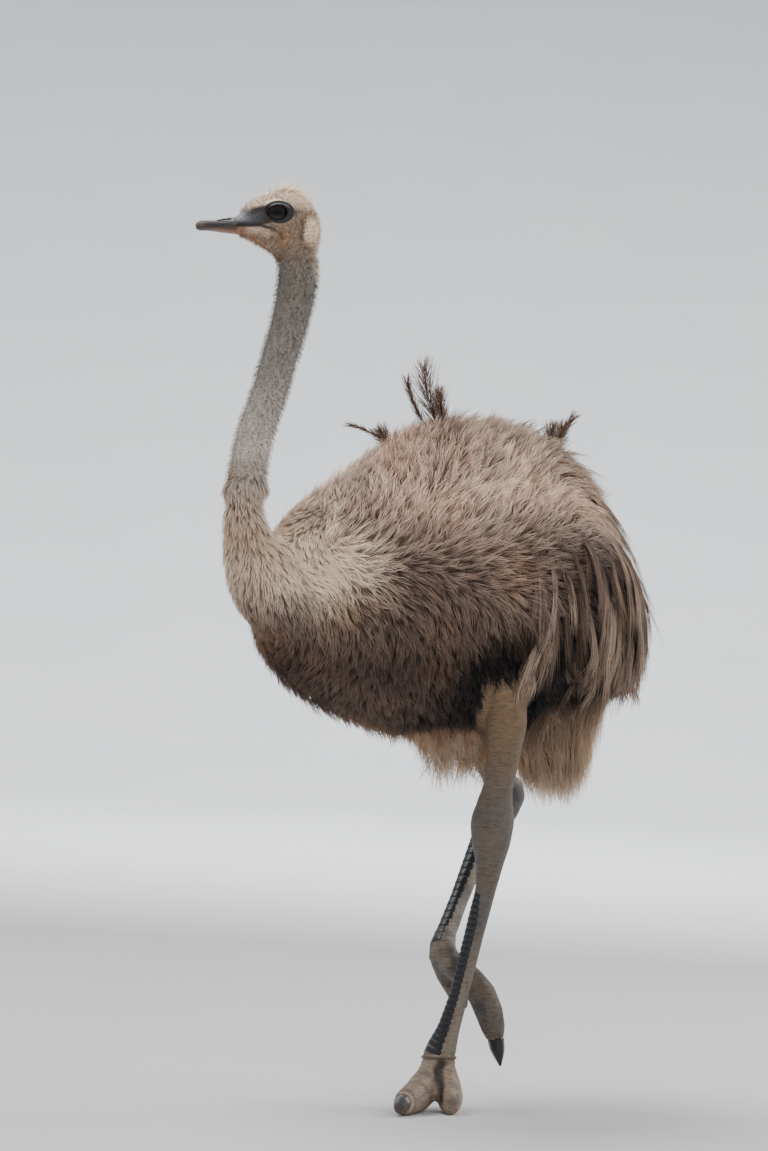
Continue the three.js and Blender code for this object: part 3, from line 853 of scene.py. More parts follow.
def body_marking(places):
    """Beige back, sooty flanks and belly darkened to near black low down as painted shade of the
    underside, cream neck base and shoulder, painted shadow on the rear under the plumes and round the
    thighs.
    """
    x, y, z = places.T
    # Darker towards the belly: sooty on the flanks, and near black at the lowest as painted shade of the
    # underside. A little darker again at the top of the back, as painted shade that tones down the lamps'
    # highlight there.
    stops = [(0.775, PITCH * 1.6), (0.83, UMBER), (0.90, SOOT), (1.00, MOUSE), (1.13, BACK * 0.85),
             (1.22, BEIGE), (1.33, BACK), (1.40, BACK * 0.85)]
    front = ease(-y, 0.30, 0.42) * ease(z, 0.90, 1.0)
    # Painted shade in the hollows round the tops of the thighs, near black under the flanks.
    thigh_hollow_shade = 1 - ease(np.minimum(THIGH_LEFT.away(places), THIGH_RIGHT.away(places)), 0.02, 0.13)
    thigh_hollow_shade = thigh_hollow_shade * ease(z + 0.02 * swirl(places, 0.03, 0.7), 0.765, 0.80) * ease(y, -0.20, -0.10)
    under = z - 0.03 * ease(-y, 0.12, 0.30) - 0.012 * ease(y, -0.15, -0.05)
    fringe = (1 - ease(under, 0.765, 0.784)) * ease(y, -0.34, -0.22)
    keel = ease(-z, -0.785, -0.755) * ease(y, -0.12, -0.04)
    vent = (1 - ease(z - 0.04 * ease(y, 0.25, 0.35), 0.80, 0.86)) * ease(y, 0.14, 0.22)
    fluff_root = ease(z, 0.68, 0.76) * (1 - ease(y, 0.34, 0.44))
    patchy = swirl(places, 0.06, 0.4)
    flecks = ease(swirl(places, 0.026, 1.2), 0.15, 0.6)
    warm = swirl(places, 0.045, 2.6)
    return layered(
        levels(z + 0.025 * swirl(places, 0.11, 0.9), stops),
        # Paler low at the front, where the painted shade of the underside is kept lighter.
        (MOUSE, 0.6 * ease(-y, 0.10, 0.26) * (1 - ease(z, 0.84, 0.92))),
        (BACK, 0.5 * front),
        (NECK_BASE, neck_zone(places) * ease(z, 0.98, 1.08)),
        (CREAM, shoulder_share(places)),
        # Painted shadow on the rear under the long plumes, near black below the hips.
        (PITCH * 1.5, 0.88 * rear_share(places) * (1 - ease(z, 1.08, 1.20))),
        # Painted shade in the hollows round the thighs.
        (PITCH * 0.6, 0.97 * thigh_hollow_shade * (1 - ease(z, 0.95, 1.03))),
        (blend(FRINGE, WHEAT, 0.75 * keel), 0.95 * fringe),
        (blend(WHEAT, TAN, fluff_root), 0.95 * vent),
        (UMBER, 0.25 * ease(patchy, 0.1, 0.8)),
        (UMBER, 0.75 * ease(z, 1.27, 1.35) * flecks),
        (RUST, 0.24 * ease(warm, 0.1, 0.7) * ease(z, 0.85, 0.95)),
        (ASH, 0.35 * ease(-warm, 0.1, 0.7) * ease(z, 0.95, 1.05) * (1 - front)),
        (BEIGE, 0.16 * ease(-patchy, 0.1, 0.8) * ease(z, 0.95, 1.05)),
    )


def shoulder_share(places):
    """1 on the pale patch where the neck meets the shoulders."""
    x, y, z = places.T
    return np.clip(2.2 * spot(y, z, (-0.455, 1.08), (0.085, 0.056)), 0, 1)


def rear_share(places):
    """1 behind the hips and over the rump, where long plumes hang."""
    x, y, z = places.T
    return ease(y - 0.34 * ease(z, 1.14, 1.34) + 0.03 * swirl(places, 0.05, 0.2), -0.02, 0.09)


def plume_marking(places):
    """Grey-brown plumes, paler in front, with sooty ones among them and more of those behind."""
    x, y, z = places.T
    return layered(
        PLUME,
        (BEIGE, 0.36 * ease(z, 1.1, 1.25) * (1 - ease(y, 0.25, 0.4))),
        (SOOT, 0.76 * ease(swirl(places, 0.05, 1.7), -0.1, 0.4)),
        (SOOT, 0.24 * ease(y, 0.20, 0.38)),
    )


def head_marking(places):
    """Pale crown and ears, mottled cheeks, dark bare skin before and round the eyes."""
    ahead, aside, above = head_frame(places)
    flank = ease(np.abs(aside), 8, 18)
    near_collar = bell(places[:, 2] - collar_height(places), 0.012, 0.02)
    ear = np.hypot((ahead - EAR[0]) / 14, (above - EAR[1]) / 25)
    ring = np.hypot((ahead + 4) / 28, (above - 0.5) / 21.5)
    margin = np.hypot(ahead / OPENING_LONG, above / OPENING_TALL)
    mouth = bell(face_distance(ahead, above, MOUTH_LINE), 0, 3.0) * ease(np.abs(aside), 4, 9)
    return layered(
        levels(places[:, 2], NECK_TONES),
        (SOOT, 0.35 * near_collar),
        (CHEEK, ease(above, -110, -50)),
        (CROWN, ease(above, -2, 28) * 0.95),
        (CROWN, ease(-ahead, 66, 88) * 0.6 * ease(above, -160, -60)),
        (ORANGE, 0.55 * bell(face_distance(ahead, above, CHIN), 0, 10)),
        (BEIGE, 0.6 * bell(face_distance(ahead, above, LIP), 0, 6)),
        (UNDER_BILL, 0.65 * (ease(ahead, 46, 74) * ease(-above, 26, 30))),
        (ORANGE, 0.5 * spot(ahead, above, (-16, -48), (9, 13)) * flank),
        (PEACH, (1 - ease(ear, 0.65, 1.35)) * flank),
        (ORANGE, (1 - ease(ear, 0.6, 1.1)) * flank * ease(-above, 34, 52) * 0.45),
        # Painted shade in the ear's slit.
        (UMBER, bell(face_distance(ahead, above, EAR_SLIT), 0, 4.5) * flank * 0.6),
        (lore_marking(ahead, above), lore_share(ahead, above, flank)),
        (LID_GREY, (1 - ease(ring, 0.90, 1.10)) * flank),
        (BILL_GREY, bell(ring, 0.80, 0.045) * flank * 0.7 * ease(above, 8, 15)),
        (DARK, bell(ring, 0.99, 0.08) * flank * (0.5 + 0.4 * ease(above, -6, 10))),
        (HOCK_BLUE * 0.5, spot(ahead, above, (-33, 1), (7, 7)) * flank * 0.9),
        (DARK, (1 - ease(margin, 1.04, 1.22)) * flank),
        # Painted shade in the crease of the mouth line.
        (DARK, mouth * (0.6 + 0.38 * ease(ahead, -2, 18))),
    )


def lore_share(ahead, above, flank):
    """1 on the bare skin between the eyes and the bill."""
    under = np.interp(ahead, [-5, 14, 32, 60], [-17, -22, -27, -29])
    bare = ease(ahead, -8, 12) * (1 - ease(above - lore_edge(ahead), -3, 4)) * ease(above - under, -2, 3)
    return bare * np.maximum(flank, ease(ahead, 56, 70))


def lore_marking(ahead, above):
    """Dark at its upper edge, with painted shade along the mouth's crease, greyer towards the bill."""
    upper_edge = bell(above - lore_edge(ahead), -5, 6)
    return layered(
        blend(LORE_TOP, LORE, ease(ahead, 8, 60)),
        (BILL_GREY, 0.8 * ease(ahead, 40, 80) * ease(above, -24, -14)),
        (LORE_TOP, 0.9 * upper_edge * (1 - ease(ahead, 44, 66))),
        # Painted shade along the mouth's crease.
        (DARK, 0.7 * bell(above, -25, 4)),
    )


def lore_edge(ahead):
    """How far above the eyes' middle the bare skin before them reaches."""
    return np.interp(ahead, [14, 40, 66, 78], [15, 8, -3, -8])


def leg_marking(places):
    """Tan thighs that turn grey towards the hocks, and grey-beige toes, with painted shade along the
    ankle's fold, in the groove round the nail and between the toes.
    """
    x, y, z = places.T
    stops = [(0.02, TOE), (0.10, TOE), (0.15, SHANK), (0.62, SHANK), (0.74, THIGH * 0.8), (0.84, THIGH)]
    standing = y < FOOT_SPLIT
    lifted = ease(y, FOOT_SPLIT, 0.20) * (x < 0)
    knuckle = 0.5 + 0.5 * np.sin(95 * z + 40 * y + 2 * swirl(places, 0.05, 0.4))
    far_toe = blend(FAR_TOE, UMBER, 0.55 * ease(knuckle, 0.5, 0.95))
    smudge = ease(swirl(places, 0.030, 1.1), 0.0, 0.7) * ease(z, 0.12, 0.18) * (1 - ease(z, 0.56, 0.64))
    rough = ease(swirl(places, 0.012, 0.3), 0.1, 0.7)
    nail = np.linalg.norm(places - middle("claw_left"), axis=1) / MM
    return layered(
        levels(z, stops),
        (PALE_SHANK, 0.9 * lifted * (1 - ease(z, 0.54, 0.62))),
        (PALE_SHANK, 0.6 * ease(z, 0.09, 0.12) * (1 - ease(z, 0.20, 0.40)) * standing),
        (far_toe, lifted * (1 - ease(z, 0.27, 0.33))),
        (HOCK_BLUE, 0.55 * (bell(z, 0.64, 0.07) * ease(y, 0.05, 0.25))),
        # Painted shade along the fold over the standing foot.
        (DARK, 0.45 * (bell(z, ANKLE_FOLD, 0.006) * standing)),
        (HOCK_BLUE, 0.35 * smudge),
        (DARK, 0.35 * rough * (1 - ease(z, 0.10, 0.14) * standing)),
        # Painted shade in the groove round the nail, then a pale ring and a dark line further out.
        (DARK, 0.8 * bell(nail, 19, 3)),
        (BEIGE, 0.25 * bell(nail, 27, 3.5)),
        (DARK, 0.4 * bell(nail, 34, 2.5)),
        # Painted shadow between the standing foot's toes.
        (DARK, 0.92 * (1 - ease(cleft_distance(places), 5, 15))),
    )


def cleft_distance(places):
    """Distance from the groove between the standing foot's toes, in millimetres."""
    return line_distance(places, CLEFT) / MM


def bare_share(places):
    """1 where the skin is bare on the legs, 0 under feathers."""
    x, y, z = places.T
    low = 1 - ease(z, 0.645, 0.665)
    left = (1 - ease(THIGH_LEFT.away(places), 0.015, 0.035)) * (1 - ease(z, 0.86, 0.90))
    right = (1 - ease(THIGH_RIGHT.away(places), 0.015, 0.035)) * (1 - ease(z, 0.70, 0.76))
    return np.clip(np.maximum(low, np.maximum(left, right)), 0, 1)


def bare_skin(places):
    """As bare_share, and also up the outer side of the swung thigh, below the hem of the plumes."""
    x, y, z = places.T
    outer = (1 - ease(THIGH_RIGHT.away(places), 0.006, 0.020)) * ease(-x, 0.11, 0.15)
    outer = outer * (1 - ease(z, 0.84, 0.89))
    # The bare patch fades out towards the thigh's front end, where the painted shade of the hollow in the
    # body's marking takes over.
    return np.maximum(bare_share(places), outer * ease(y, 0.035, 0.105))


# ---- Shader maths ----
class Wire:
    """A shader socket that takes part in Python expressions."""

    def __init__(self, finish, socket):
        self.finish = finish
        self.socket = socket

    def maths(self, operation, *values):
        return self.finish.node("ShaderNodeMath", {"operation": operation}, dict(enumerate(values)))

    def __add__(self, other):
        return self.maths("ADD", self, other)

    def __sub__(self, other):
        return self.maths("SUBTRACT", self, other)

    def __rsub__(self, other):
        return self.maths("SUBTRACT", other, self)

    def __mul__(self, other):
        return self.maths("MULTIPLY", self, other)

    __radd__ = __add__
    __rmul__ = __mul__

    def rise(self, low, high):
        """0 below low, 1 above high, with a smooth rise between them."""
        inputs = {"Value": self, "From Min": low, "From Max": high}
        return self.finish.node("ShaderNodeMapRange", {"interpolation_type": "SMOOTHSTEP"}, inputs)


class Finish:
    """A material on one Principled shader, with the nodes that vary it."""

    def __init__(self, name, **sockets):
        self.material = bpy.data.materials.new(name)
        self.material.use_nodes = True
        self.tree = self.material.node_tree
        self.shader = self.tree.nodes["Principled BSDF"]
        for socket, value in sockets.items():
            self.shader.inputs[socket.replace("_", " ")].default_value = value
        self.place = self.node("ShaderNodeTexCoord", {}, {}, "Object")

    def node(self, kind, settings, inputs, output=None):
        made = self.tree.nodes.new(kind)
        for name, value in settings.items():
            setattr(made, name, value)
        for name, value in inputs.items():
            self.feed(made.inputs[name], value)
        used = made.outputs[output] if output else next(o for o in made.outputs if o.enabled)
        return Wire(self, used)

    def feed(self, socket, value):
        """Links a wire to a socket, or sets the socket's own value."""
        if isinstance(value, Wire):
            self.tree.links.new(value.socket, socket)
        else:
            socket.default_value = value

    def set(self, socket, wire):
        self.tree.links.new(wire.socket, self.shader.inputs[socket])

    def attribute(self, name, output="Fac"):
        return self.node("ShaderNodeAttribute", {"attribute_name": name}, {}, output)

    def noise(self, scale, detail=3.0, roughness=0.6, stretch=None):
        place = self.place
        if stretch:
            place = self.node("ShaderNodeMapping", {}, {"Vector": self.place, "Scale": stretch})
        inputs = {"Vector": place, "Scale": scale, "Detail": detail, "Roughness": roughness}
        return self.node("ShaderNodeTexNoise", {}, inputs, "Fac")

    def cells(self, scale):
        return self.node("ShaderNodeTexVoronoi", {}, {"Vector": self.place, "Scale": scale}, "Distance")

    def mix(self, share, first, second, kind="MIX"):
        """Two colours, or a wire and a colour, mixed by a share."""
        mixer = self.tree.nodes.new("ShaderNodeMix")
        mixer.data_type = "RGBA"
        mixer.blend_type = kind
        self.feed(mixer.inputs[0], share)
        for index, colour in ((6, first), (7, second)):
            self.feed(mixer.inputs[index], colour if isinstance(colour, Wire) else (*colour, 1.0))
        return Wire(self, mixer.outputs[2])

    def tinted(self, colour, tint):
        """A colour multiplied by a tint."""
        return self.mix(1.0, colour, tint, "MULTIPLY")

    def bump(self, height, strength, distance):
        inputs = {"Height": height, "Strength": strength, "Distance": distance}
        self.set("Normal", self.node("ShaderNodeBump", {}, inputs, "Normal"))


# ---- Finishes ----
def plumage_finish():
    """Soft matt strands: dark at the root as painted shade deep in the coat, paler to the tip, each tuft
    in its own tone.
    """
    shine = {"Specular_IOR_Level": 0.12, "Sheen_Weight": 0.06, "Sheen_Roughness": 0.5}
    finish = Finish("plumage", Roughness=0.82, **shine)
    marking = finish.attribute("marking", "Color")
    tone = finish.attribute("tone")
    along = finish.attribute("along")
    # Painted shade deep in the coat: each strand is darker towards its root, except in the palest tufts.
    deep = finish.tinted(marking, (0.36, 0.31, 0.28))
    deep = finish.mix(tone.rise(0.85, 1.0), deep, marking)
    pale = finish.tinted(marking, (1.66, 1.58, 1.46))
    colour = finish.mix(along.rise(0.0, 0.6), deep, marking)
    colour = finish.mix(along.rise(0.55, 1.0) * tone.rise(0.45, 0.9), colour, pale)
    shade = finish.tinted(colour, (0.42, 0.37, 0.34))
    colour = finish.mix((1 - tone.rise(0.0, 0.45)) * 0.85, colour, shade)
    grain = finish.noise(260.0, 2.0)
    bright = finish.tinted(colour, (1.25, 1.2, 1.12))
    colour = finish.mix(grain.rise(0.35, 0.7) * 0.3, colour, bright)
    finish.set("Base Color", colour)
    return finish.material


def down_finish():
    """Fine pale down: hardly darker at the root, as painted shade deep in the down, some tufts dusky."""
    shine = {"Specular_IOR_Level": 0.2, "Sheen_Weight": 0.2, "Sheen_Roughness": 0.5}
    finish = Finish("down", Roughness=0.8, **shine)
    marking = finish.attribute("marking", "Color")
    tone = finish.attribute("tone")
    along = finish.attribute("along")
    # A little painted shade towards the roots.
    deep = finish.tinted(marking, (0.60, 0.57, 0.54))
    pale = finish.tinted(marking, (1.45, 1.40, 1.34))
    colour = finish.mix(along.rise(0.0, 0.7), deep, pale)
    dusky = finish.tinted(colour, (0.36, 0.33, 0.31))
    colour = finish.mix((1 - tone.rise(0.14, 0.46)) * 0.9, colour, dusky)
    finish.set("Base Color", colour)
    return finish.material


def skin_finish():
    """Bare wrinkled skin on the legs, paler on its ridges with painted shade in its creases and pits,
    speckled down on the neck and head, and painted shade on the skin under the feathers.
    """
    finish = Finish("skin", Roughness=0.62)
    marking = finish.attribute("marking", "Color")
    bare = finish.attribute("bare")
    down = finish.attribute("down")
    wrinkle = finish.noise(100.0, 5.0, 0.7, (0.5, 0.5, 2.6))
    pebble = finish.cells(190.0)
    speck = finish.noise(340.0, 2.0, 0.7)
    dot = finish.cells(330.0)
    # Painted shade on the skin under the feathers.
    deep = finish.tinted(marking, (0.34, 0.30, 0.28))
    feathered = (1 - bare) * (1 - down)
    colour = finish.mix(feathered, marking, deep)
    # A paler tint, and a darker one for painted shade in the dips of the bump and for the dark dots of the
    # down.
    paler_tint = finish.tinted(colour, (1.35, 1.32, 1.28))
    dip_shade_and_speck = finish.tinted(colour, (0.52, 0.50, 0.50))
    blotch = finish.noise(34.0, 3.0, 0.6, (1.0, 1.0, 0.6))
    rings = finish.attribute("rings")
    wave = (rings * 1.3).maths("SINE")
    near_nail = 1 - rings.rise(52.0, 80.0)
    # Paler on the wrinkles' ridges. Painted shade in their creases, in the pits of the pebbling and in the
    # grooves round the nails, where the bump dips.
    colour = finish.mix(bare * wrinkle.rise(0.50, 0.62) * 0.60, colour, paler_tint)
    colour = finish.mix(bare * (1 - wrinkle.rise(0.38, 0.50)) * 0.70, colour, dip_shade_and_speck)
    colour = finish.mix(bare * (1 - pebble.rise(0.10, 0.45)) * 0.30, colour, dip_shade_and_speck)
    colour = finish.mix(bare * near_nail * wave.rise(0.3, 1.0) * 0.45, colour, dip_shade_and_speck)
    # Pale blotches on the legs. Pale specks and dark dots in the down, the dots sitting in the bump's
    # dips.
    colour = finish.mix(bare * blotch.rise(0.54, 0.70) * 0.50, colour, paler_tint)
    colour = finish.mix(down * speck.rise(0.50, 0.66) * 0.7, colour, paler_tint)
    colour = finish.mix(down * dot.rise(0.55, 0.85) * 0.7, colour, dip_shade_and_speck)
    finish.set("Base Color", colour)
    height = bare * (wrinkle + pebble * 0.35) + down * (speck * 0.6 - dot * 0.5)
    height = height - bare * near_nail * 0.9 * wave
    finish.bump(height, 0.9, 0.0025)
    return finish.material


def horn_finish(name, base, edge, rough, coat):
    """Horn: streaked along its length, paler where it is worn, with a soft polish."""
    finish = Finish(name, Coat_Roughness=0.25)
    matt = finish.attribute("matt")
    finish.set("Roughness", matt * (1 - rough) + rough)
    finish.set("Coat Weight", (1 - matt) * coat)
    marking = finish.attribute("marking", "Color")
    streak = finish.noise(260.0, 3.0, 0.6, (1.0, 1.0, 0.25))
    blotch = finish.noise(60.0, 3.0, 0.6)
    colour = finish.mix(streak.rise(0.45, 0.7) * 0.35, marking, finish.tinted(marking, edge))
    colour = finish.mix(blotch.rise(0.5, 0.75) * 0.4, colour, finish.tinted(colour, base))
    finish.set("Base Color", colour)
    finish.bump(streak * 0.6 + blotch * 0.4, 0.4, 0.0006)
    return finish.material


def eye_finish():
    """A dark brown iris round a black pupil, wet all over."""
    finish = Finish("eye", Roughness=0.06, Specular_IOR_Level=0.28)
    out = finish.attribute("outward")
    fibre = finish.noise(900.0, 3.0, 0.7)
    iris = finish.mix(fibre.rise(0.35, 0.7), tuple(IRIS_DARK), tuple(IRIS_LIGHT))
    colour = finish.mix(out.rise(0.36, 0.46), PUPIL, iris)
    colour = finish.mix(out.rise(0.66, 0.80), colour, EYE_RIM)
    finish.set("Base Color", colour)
    return finish.material


def floor_finish():
    """Pale studio floor with a very faint mottling."""
    finish = Finish("studio_floor", Roughness=0.85)
    mottle = finish.noise(1.5, 3.0, 0.5)
    finish.set("Base Color", finish.mix(mottle, FLOOR_DARK, FLOOR_LIGHT))
    return finish.material


def dress(piece, material, slot, *nodes):
    piece.data.materials.clear()
    piece.data.materials.append(material)
    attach(piece, "root")
    if nodes:
        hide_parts(*nodes)


# ---- The plumage ----
# A coat's look says how many rings of corners a strand has and how many strands a tuft has (count), and
# in metres how far the strands spread, puff up and curl and how wide they are. The rest is as here,
# unless a look says otherwise.
PLAIN_LOOK = {
    "root": 0.5, "flare": 0.5,  # spread at the root and at the tip, as shares of the widest
    "lowest": 0.7, "ruffled": 0.0,  # how low the lowest tufts lie, and the share of tufts that stand out
    "turn": 0.45, "eddy": 0.0, "stray": 0.18,  # turned from the lie: in wide swirls, small ones, singly
    "bend": 0.0, "fall": 0.0,  # curved sideways along the tuft, and drawn down by its weight
    "tone": 0.5, "patchy": 0.32, "uneven": 0.2,  # mean tone, and how it varies by place and by tuft
    # The lower a tuft lies in the coat, the darker its tone: painted shade deep in the coat.
    "layered": 0.0, "streaks": 0.16,  # and by depth and by strand
}


def lay_coat(name, surface, seed, spacing, density, length, depth, lie, look, material, slot, unwrap,
             colours=None):
    """Roots tufts over a surface, grows their strands and splits them into pieces."""
    look = {**PLAIN_LOOK, **look}
    rng = np.random.default_rng(seed)
    roots, normals = surface.scatter(rng, spacing, density)
    tufts = len(roots)
    lengths = length(roots, normals) * rng.uniform(0.72, 1.25, tufts)
    layer = rng.uniform(look["lowest"], 1.05, tufts)
    ruffled = rng.random(tufts) < look["ruffled"]
    depths = depth(roots, normals) * layer * np.where(ruffled, rng.uniform(1.15, 1.6, tufts), 1)
    wander = look["turn"] * swirl(roots, 0.06, 1.0) + look["eddy"] * swirl(roots, 0.02, 3.0)
    wander = wander + rng.normal(0, look["stray"], tufts)
    bend = rng.normal(0, look["bend"], tufts)
    growth = (lengths, depths, lie, wander, bend, look["rings"], look["fall"])
    centre, *frames = strands(rng, *march(surface, roots, normals, *growth), look)
    beyond = np.maximum(np.abs(centre[..., 0]) - WIDEST, 0)
    centre[..., 0] -= np.sign(centre[..., 0]) * (beyond - PRESSED * np.tanh(beyond / PRESSED))
    made = (centre, *frames)
    tone = look["tone"] + look["patchy"] * swirl(roots, 0.03, 2.0)
    tone = tone + 0.7 * shoulder_share(roots)
    # Darker the lower a tuft lies: painted shade deep in the coat.
    tone = tone + rng.normal(0, look["uneven"], tufts) + look["layered"] * (layer - 0.7)
    tone = tone[:, None] + rng.normal(0, look["streaks"], (tufts, look["count"]))
    tone = np.clip(tone, 0, 1)
    colour = (colours or coat_marking)(roots)
    per_tuft = look["count"] * (4 + 6 * (look["rings"] - 2))
    per_piece = MOST_TRIANGLES // per_tuft
    order = np.argsort(roots[:, 1] if tufts > per_piece else roots[:, 2], kind="stable")
    for start in range(0, tufts, per_piece):
        chosen = order[start:start + per_piece]
        part = tuple(array[chosen] for array in made)
        label = name if tufts <= per_piece else f"{name}_{start // per_piece + 1}"
        shades = {"tone": tone[chosen], "marking": colour[chosen]}
        dress(coat_piece(label, part, unwrap(roots[chosen]), shades), material, slot)


def on_body(places, normals):
    """Where the body's own feathers root: not on bare legs, and not up the neck."""
    x, y, z = places.T
    neck = (z > COLLAR + 0.004) & (y < -0.40)
    base = neck_zone(places)
    return 1.0 * ~neck * (bare_share(places) < 0.5) * (base < 0.85) * (z > 0.62)


def neck_zone(places):
    """1 on the thick lower neck, where the feathers are short."""
    x, y, z = places.T
    return ease(-(y - 0.45 * (z - 1.1)), 0.365, 0.43) * ease(z, 0.93, 0.97)


def body_length(places, normals):
    x, y, z = places.T
    size = 0.046 + 0.014 * ease(y, -0.3, 0.1) + 0.012 * ease(y, 0.1, 0.3)
    return size * (1 - 0.25 * ease(-normals[:, 2], 0.1, 0.6))


def body_depth(places, normals):
    depth = trunk_coat(places)
    depth = depth + 0.013 * ease(normals[:, 2], 0.5, 0.9) * ease(places[:, 2], 1.24, 1.32)
    return depth * (1 - 0.45 * rear_share(places) * ease(1.26 - places[:, 2], 0, 0.10))


def plume_place(places, normals):
    """Where the long loose plumes of the wings and rump root."""
    x, y, z = places.T
    locks = ease(swirl(places * np.array([1.0, 1.0, 0.35]), 0.022, 0.5), -0.35, 0.05)
    parting = np.interp(z, [1.05, 1.15, 1.24], [0.135, 0.183, 0.22])
    gap = bell(y, parting, 0.013) * (x > 0) * ease(z, 0.98, 1.04)
    hem = 0.895 + 0.05 * swirl(places, 0.04, 0.8)
    density = (rear_share(places) > 0.15) * (0.12 + 0.88 * locks) * (1 - gap)
    return density * (z > hem) * ease(1.30 - z, 0, 0.06)


def plume_length(places, normals):
    return 0.08 + 0.18 * ease(places[:, 2], 0.90, 1.12)


def fluff_place(places, normals):
    """The pale fluff under the tail, along the belly's keel and between the thighs."""
    x, y, z = places.T
    vent = (z < 0.83 + 0.04 * ease(y, 0.25, 0.35) - 0.04 * ease(y, 0.40, 0.46)) & (y > 0.15)
    belly = (z < 0.785) & (y > -0.30) & (y < 0.16) & (normals[:, 2] < -0.2)
    return (1.0 * vent + 0.8 * belly) * (bare_share(places) < 0.3)


def fluff_length(places, normals):
    x, y, z = places.T
    vent = np.clip(z - 0.61, 0.045, 0.13)
    belly = np.clip(z - 0.635, 0.03, 0.13) * (0.45 + 0.55 * ease(y, -0.11, -0.02))
    return np.where(y > 0.15, vent, belly)


def fluff_lie(places, normals):
    back = 0.2 + 0.7 * ease(places[..., 1], 0.34, 0.46)
    return tangent(-UP + back[..., None] * BACKWARD, normals)


def level(value):
    """The same value for every tuft."""
    return lambda places, normals: np.full(len(places), value)


def grow_plumage(body, neck, material, down):
    look = {"rings": 3, "count": 5, "spread": 0.0062, "root": 0.8, "puff": 0.006, "width": 0.0017,
            "curl": 0.0036, "stray": 0.34, "ruffled": 0.16, "flare": 0.5, "layered": 0.5, "lowest": 0.5,
            "eddy": 0.40, "bend": 0.35, "uneven": 0.25, "patchy": 0.38}
    lay_coat("body_feathers", body, 7, 0.0109, on_body, body_length, body_depth, body_lie,
             look, material, "body_plumage", around_body)
    look = {"rings": 3, "count": 5, "spread": 0.005, "puff": 0.004, "width": 0.0014, "curl": 0.0012,
            "stray": 0.25, "tone": 0.55, "layered": 0.4}
    lay_coat("neck_feathers", body, 11, 0.0080, on_neck_base, level(0.032), level(COLLAR_COAT), neck_lie,
             look, material, "neck_plumage", around_neck)
    look = {"rings": 4, "count": 5, "spread": 0.004, "puff": 0.004, "width": 0.0012, "curl": 0.0012,
            "stray": 0.20, "tone": 0.7, "lowest": 0.4}
    lay_coat("collar_feathers", neck, 12, 0.0058, on_collar, level(0.034), level(0.013), neck_lie,
             look, material, "neck_plumage", around_neck)
    look = {"rings": 6, "count": 20, "spread": 0.0052, "puff": 0.007, "width": 0.0017, "curl": 0.006,
            "root": 0.8, "flare": 1.9, "fall": 0.8, "turn": 0.45, "eddy": 0.2, "stray": 0.22, "bend": 0.5,
            "tone": 0.50, "layered": 1.4, "lowest": 0.15, "uneven": 0.32, "patchy": 0.25, "streaks": 0.24}
    lay_coat("long_plumes", body, 13, 0.0315, plume_place, plume_length, level(0.036), plume_lie,
             look, material, "wing_plumage", around_body, plume_marking)
    look = {"rings": 5, "count": 9, "spread": 0.011, "puff": 0.013, "width": 0.0012, "curl": 0.006,
            "flare": 1.3, "fall": 1.2, "tone": 0.70, "lowest": 0.4, "bend": 0.4, "stray": 0.25}
    lay_coat("vent_fluff", body, 17, 0.0165, fluff_place, fluff_length, level(0.028), fluff_lie,
             look, material, "vent_fluff", around_body)
    look = {"rings": 3, "count": 4, "spread": 0.0028, "puff": 0.005, "width": 0.00065, "curl": 0.001,
            "stray": 0.45, "tone": 0.50, "patchy": 0.0, "uneven": 0.36, "lowest": 0.5}
    lay_coat("neck_down", neck, 19, 0.0052, on_neck, level(0.009), level(0.0075), down_lie,
             look, down, "neck_down", around_neck)
    look = {"rings": 3, "count": 6, "spread": 0.0034, "puff": 0.005, "width": 0.00045, "curl": 0.0012,
            "stray": 0.40, "tone": 0.64, "patchy": 0.0, "uneven": 0.30, "ruffled": 0.30}
    lay_coat("head_down", neck, 23, 0.0043, downy_head, head_length, head_depth, head_lie,
             look, down, "head_down", around_neck)


def on_neck_base(places, normals):
    return 1.0 * (neck_zone(places) >= 0.12) * (places[:, 2] < COLLAR + 0.012)


def collar_height(places):
    """The collar's edge is highest on the near side of the neck and dips round the others."""
    x, y = neck_axis(places[:, 2])
    turn = np.arctan2(places[:, 0] - x, y - places[:, 1])
    return COLLAR + 0.012 - 0.030 * np.minimum(1, 1 - np.cos(turn - math.radians(33)))


def on_collar(places, normals):
    return 1.0 * (places[:, 2] < collar_height(places))


def neck_lie(places, normals):
    """Down the neck, and bending back over the shoulders at its foot."""
    x, y, z = places.T
    back = ease(y - 0.45 * (z - 1.1), -0.47, -0.36) * ease(1.16 - z, 0, 0.06) * ease(z, 0.93, 1.02)
    return tangent(-UP * (1 - 0.75 * back[:, None]) + BACKWARD * (0.12 + back[:, None]), normals)


def plume_lie(places, normals):
    """Back over the rump, then straight down."""
    x, y, z = places.T
    back = ease(z, 1.12, 1.36)[:, None]
    return tangent(-UP * (1 - 0.35 * back) + BACKWARD * (0.10 + 0.9 * back), normals)


def on_neck(places, normals):
    return 1.0 * (places[:, 2] > collar_height(places) - 0.006) * (places[:, 2] < NECK_TOP)


def downy_head(places, normals):
    """Down on the crown, cheeks, ears and throat, none on the bare face."""
    ahead, aside, above = head_frame(places)
    ring = np.hypot((ahead + 4) / 30, above / 23)
    round_eye = (ring < 1.05 + 0.15 * ease(ahead, -8, 4) * ease(above, 8, 14)) & (np.abs(aside) > 12)
    face = (ahead > 12) & (above < lore_edge(ahead)) & (above > -34)
    return 1.0 * (places[:, 2] > 1.65) * ~round_eye * ~face * (ahead < 68)


def head_length(places, normals):
    ahead, aside, above = head_frame(places)
    return 0.007 + 0.016 * ease(above, 12, 42) * ease(-ahead, -60, -10)


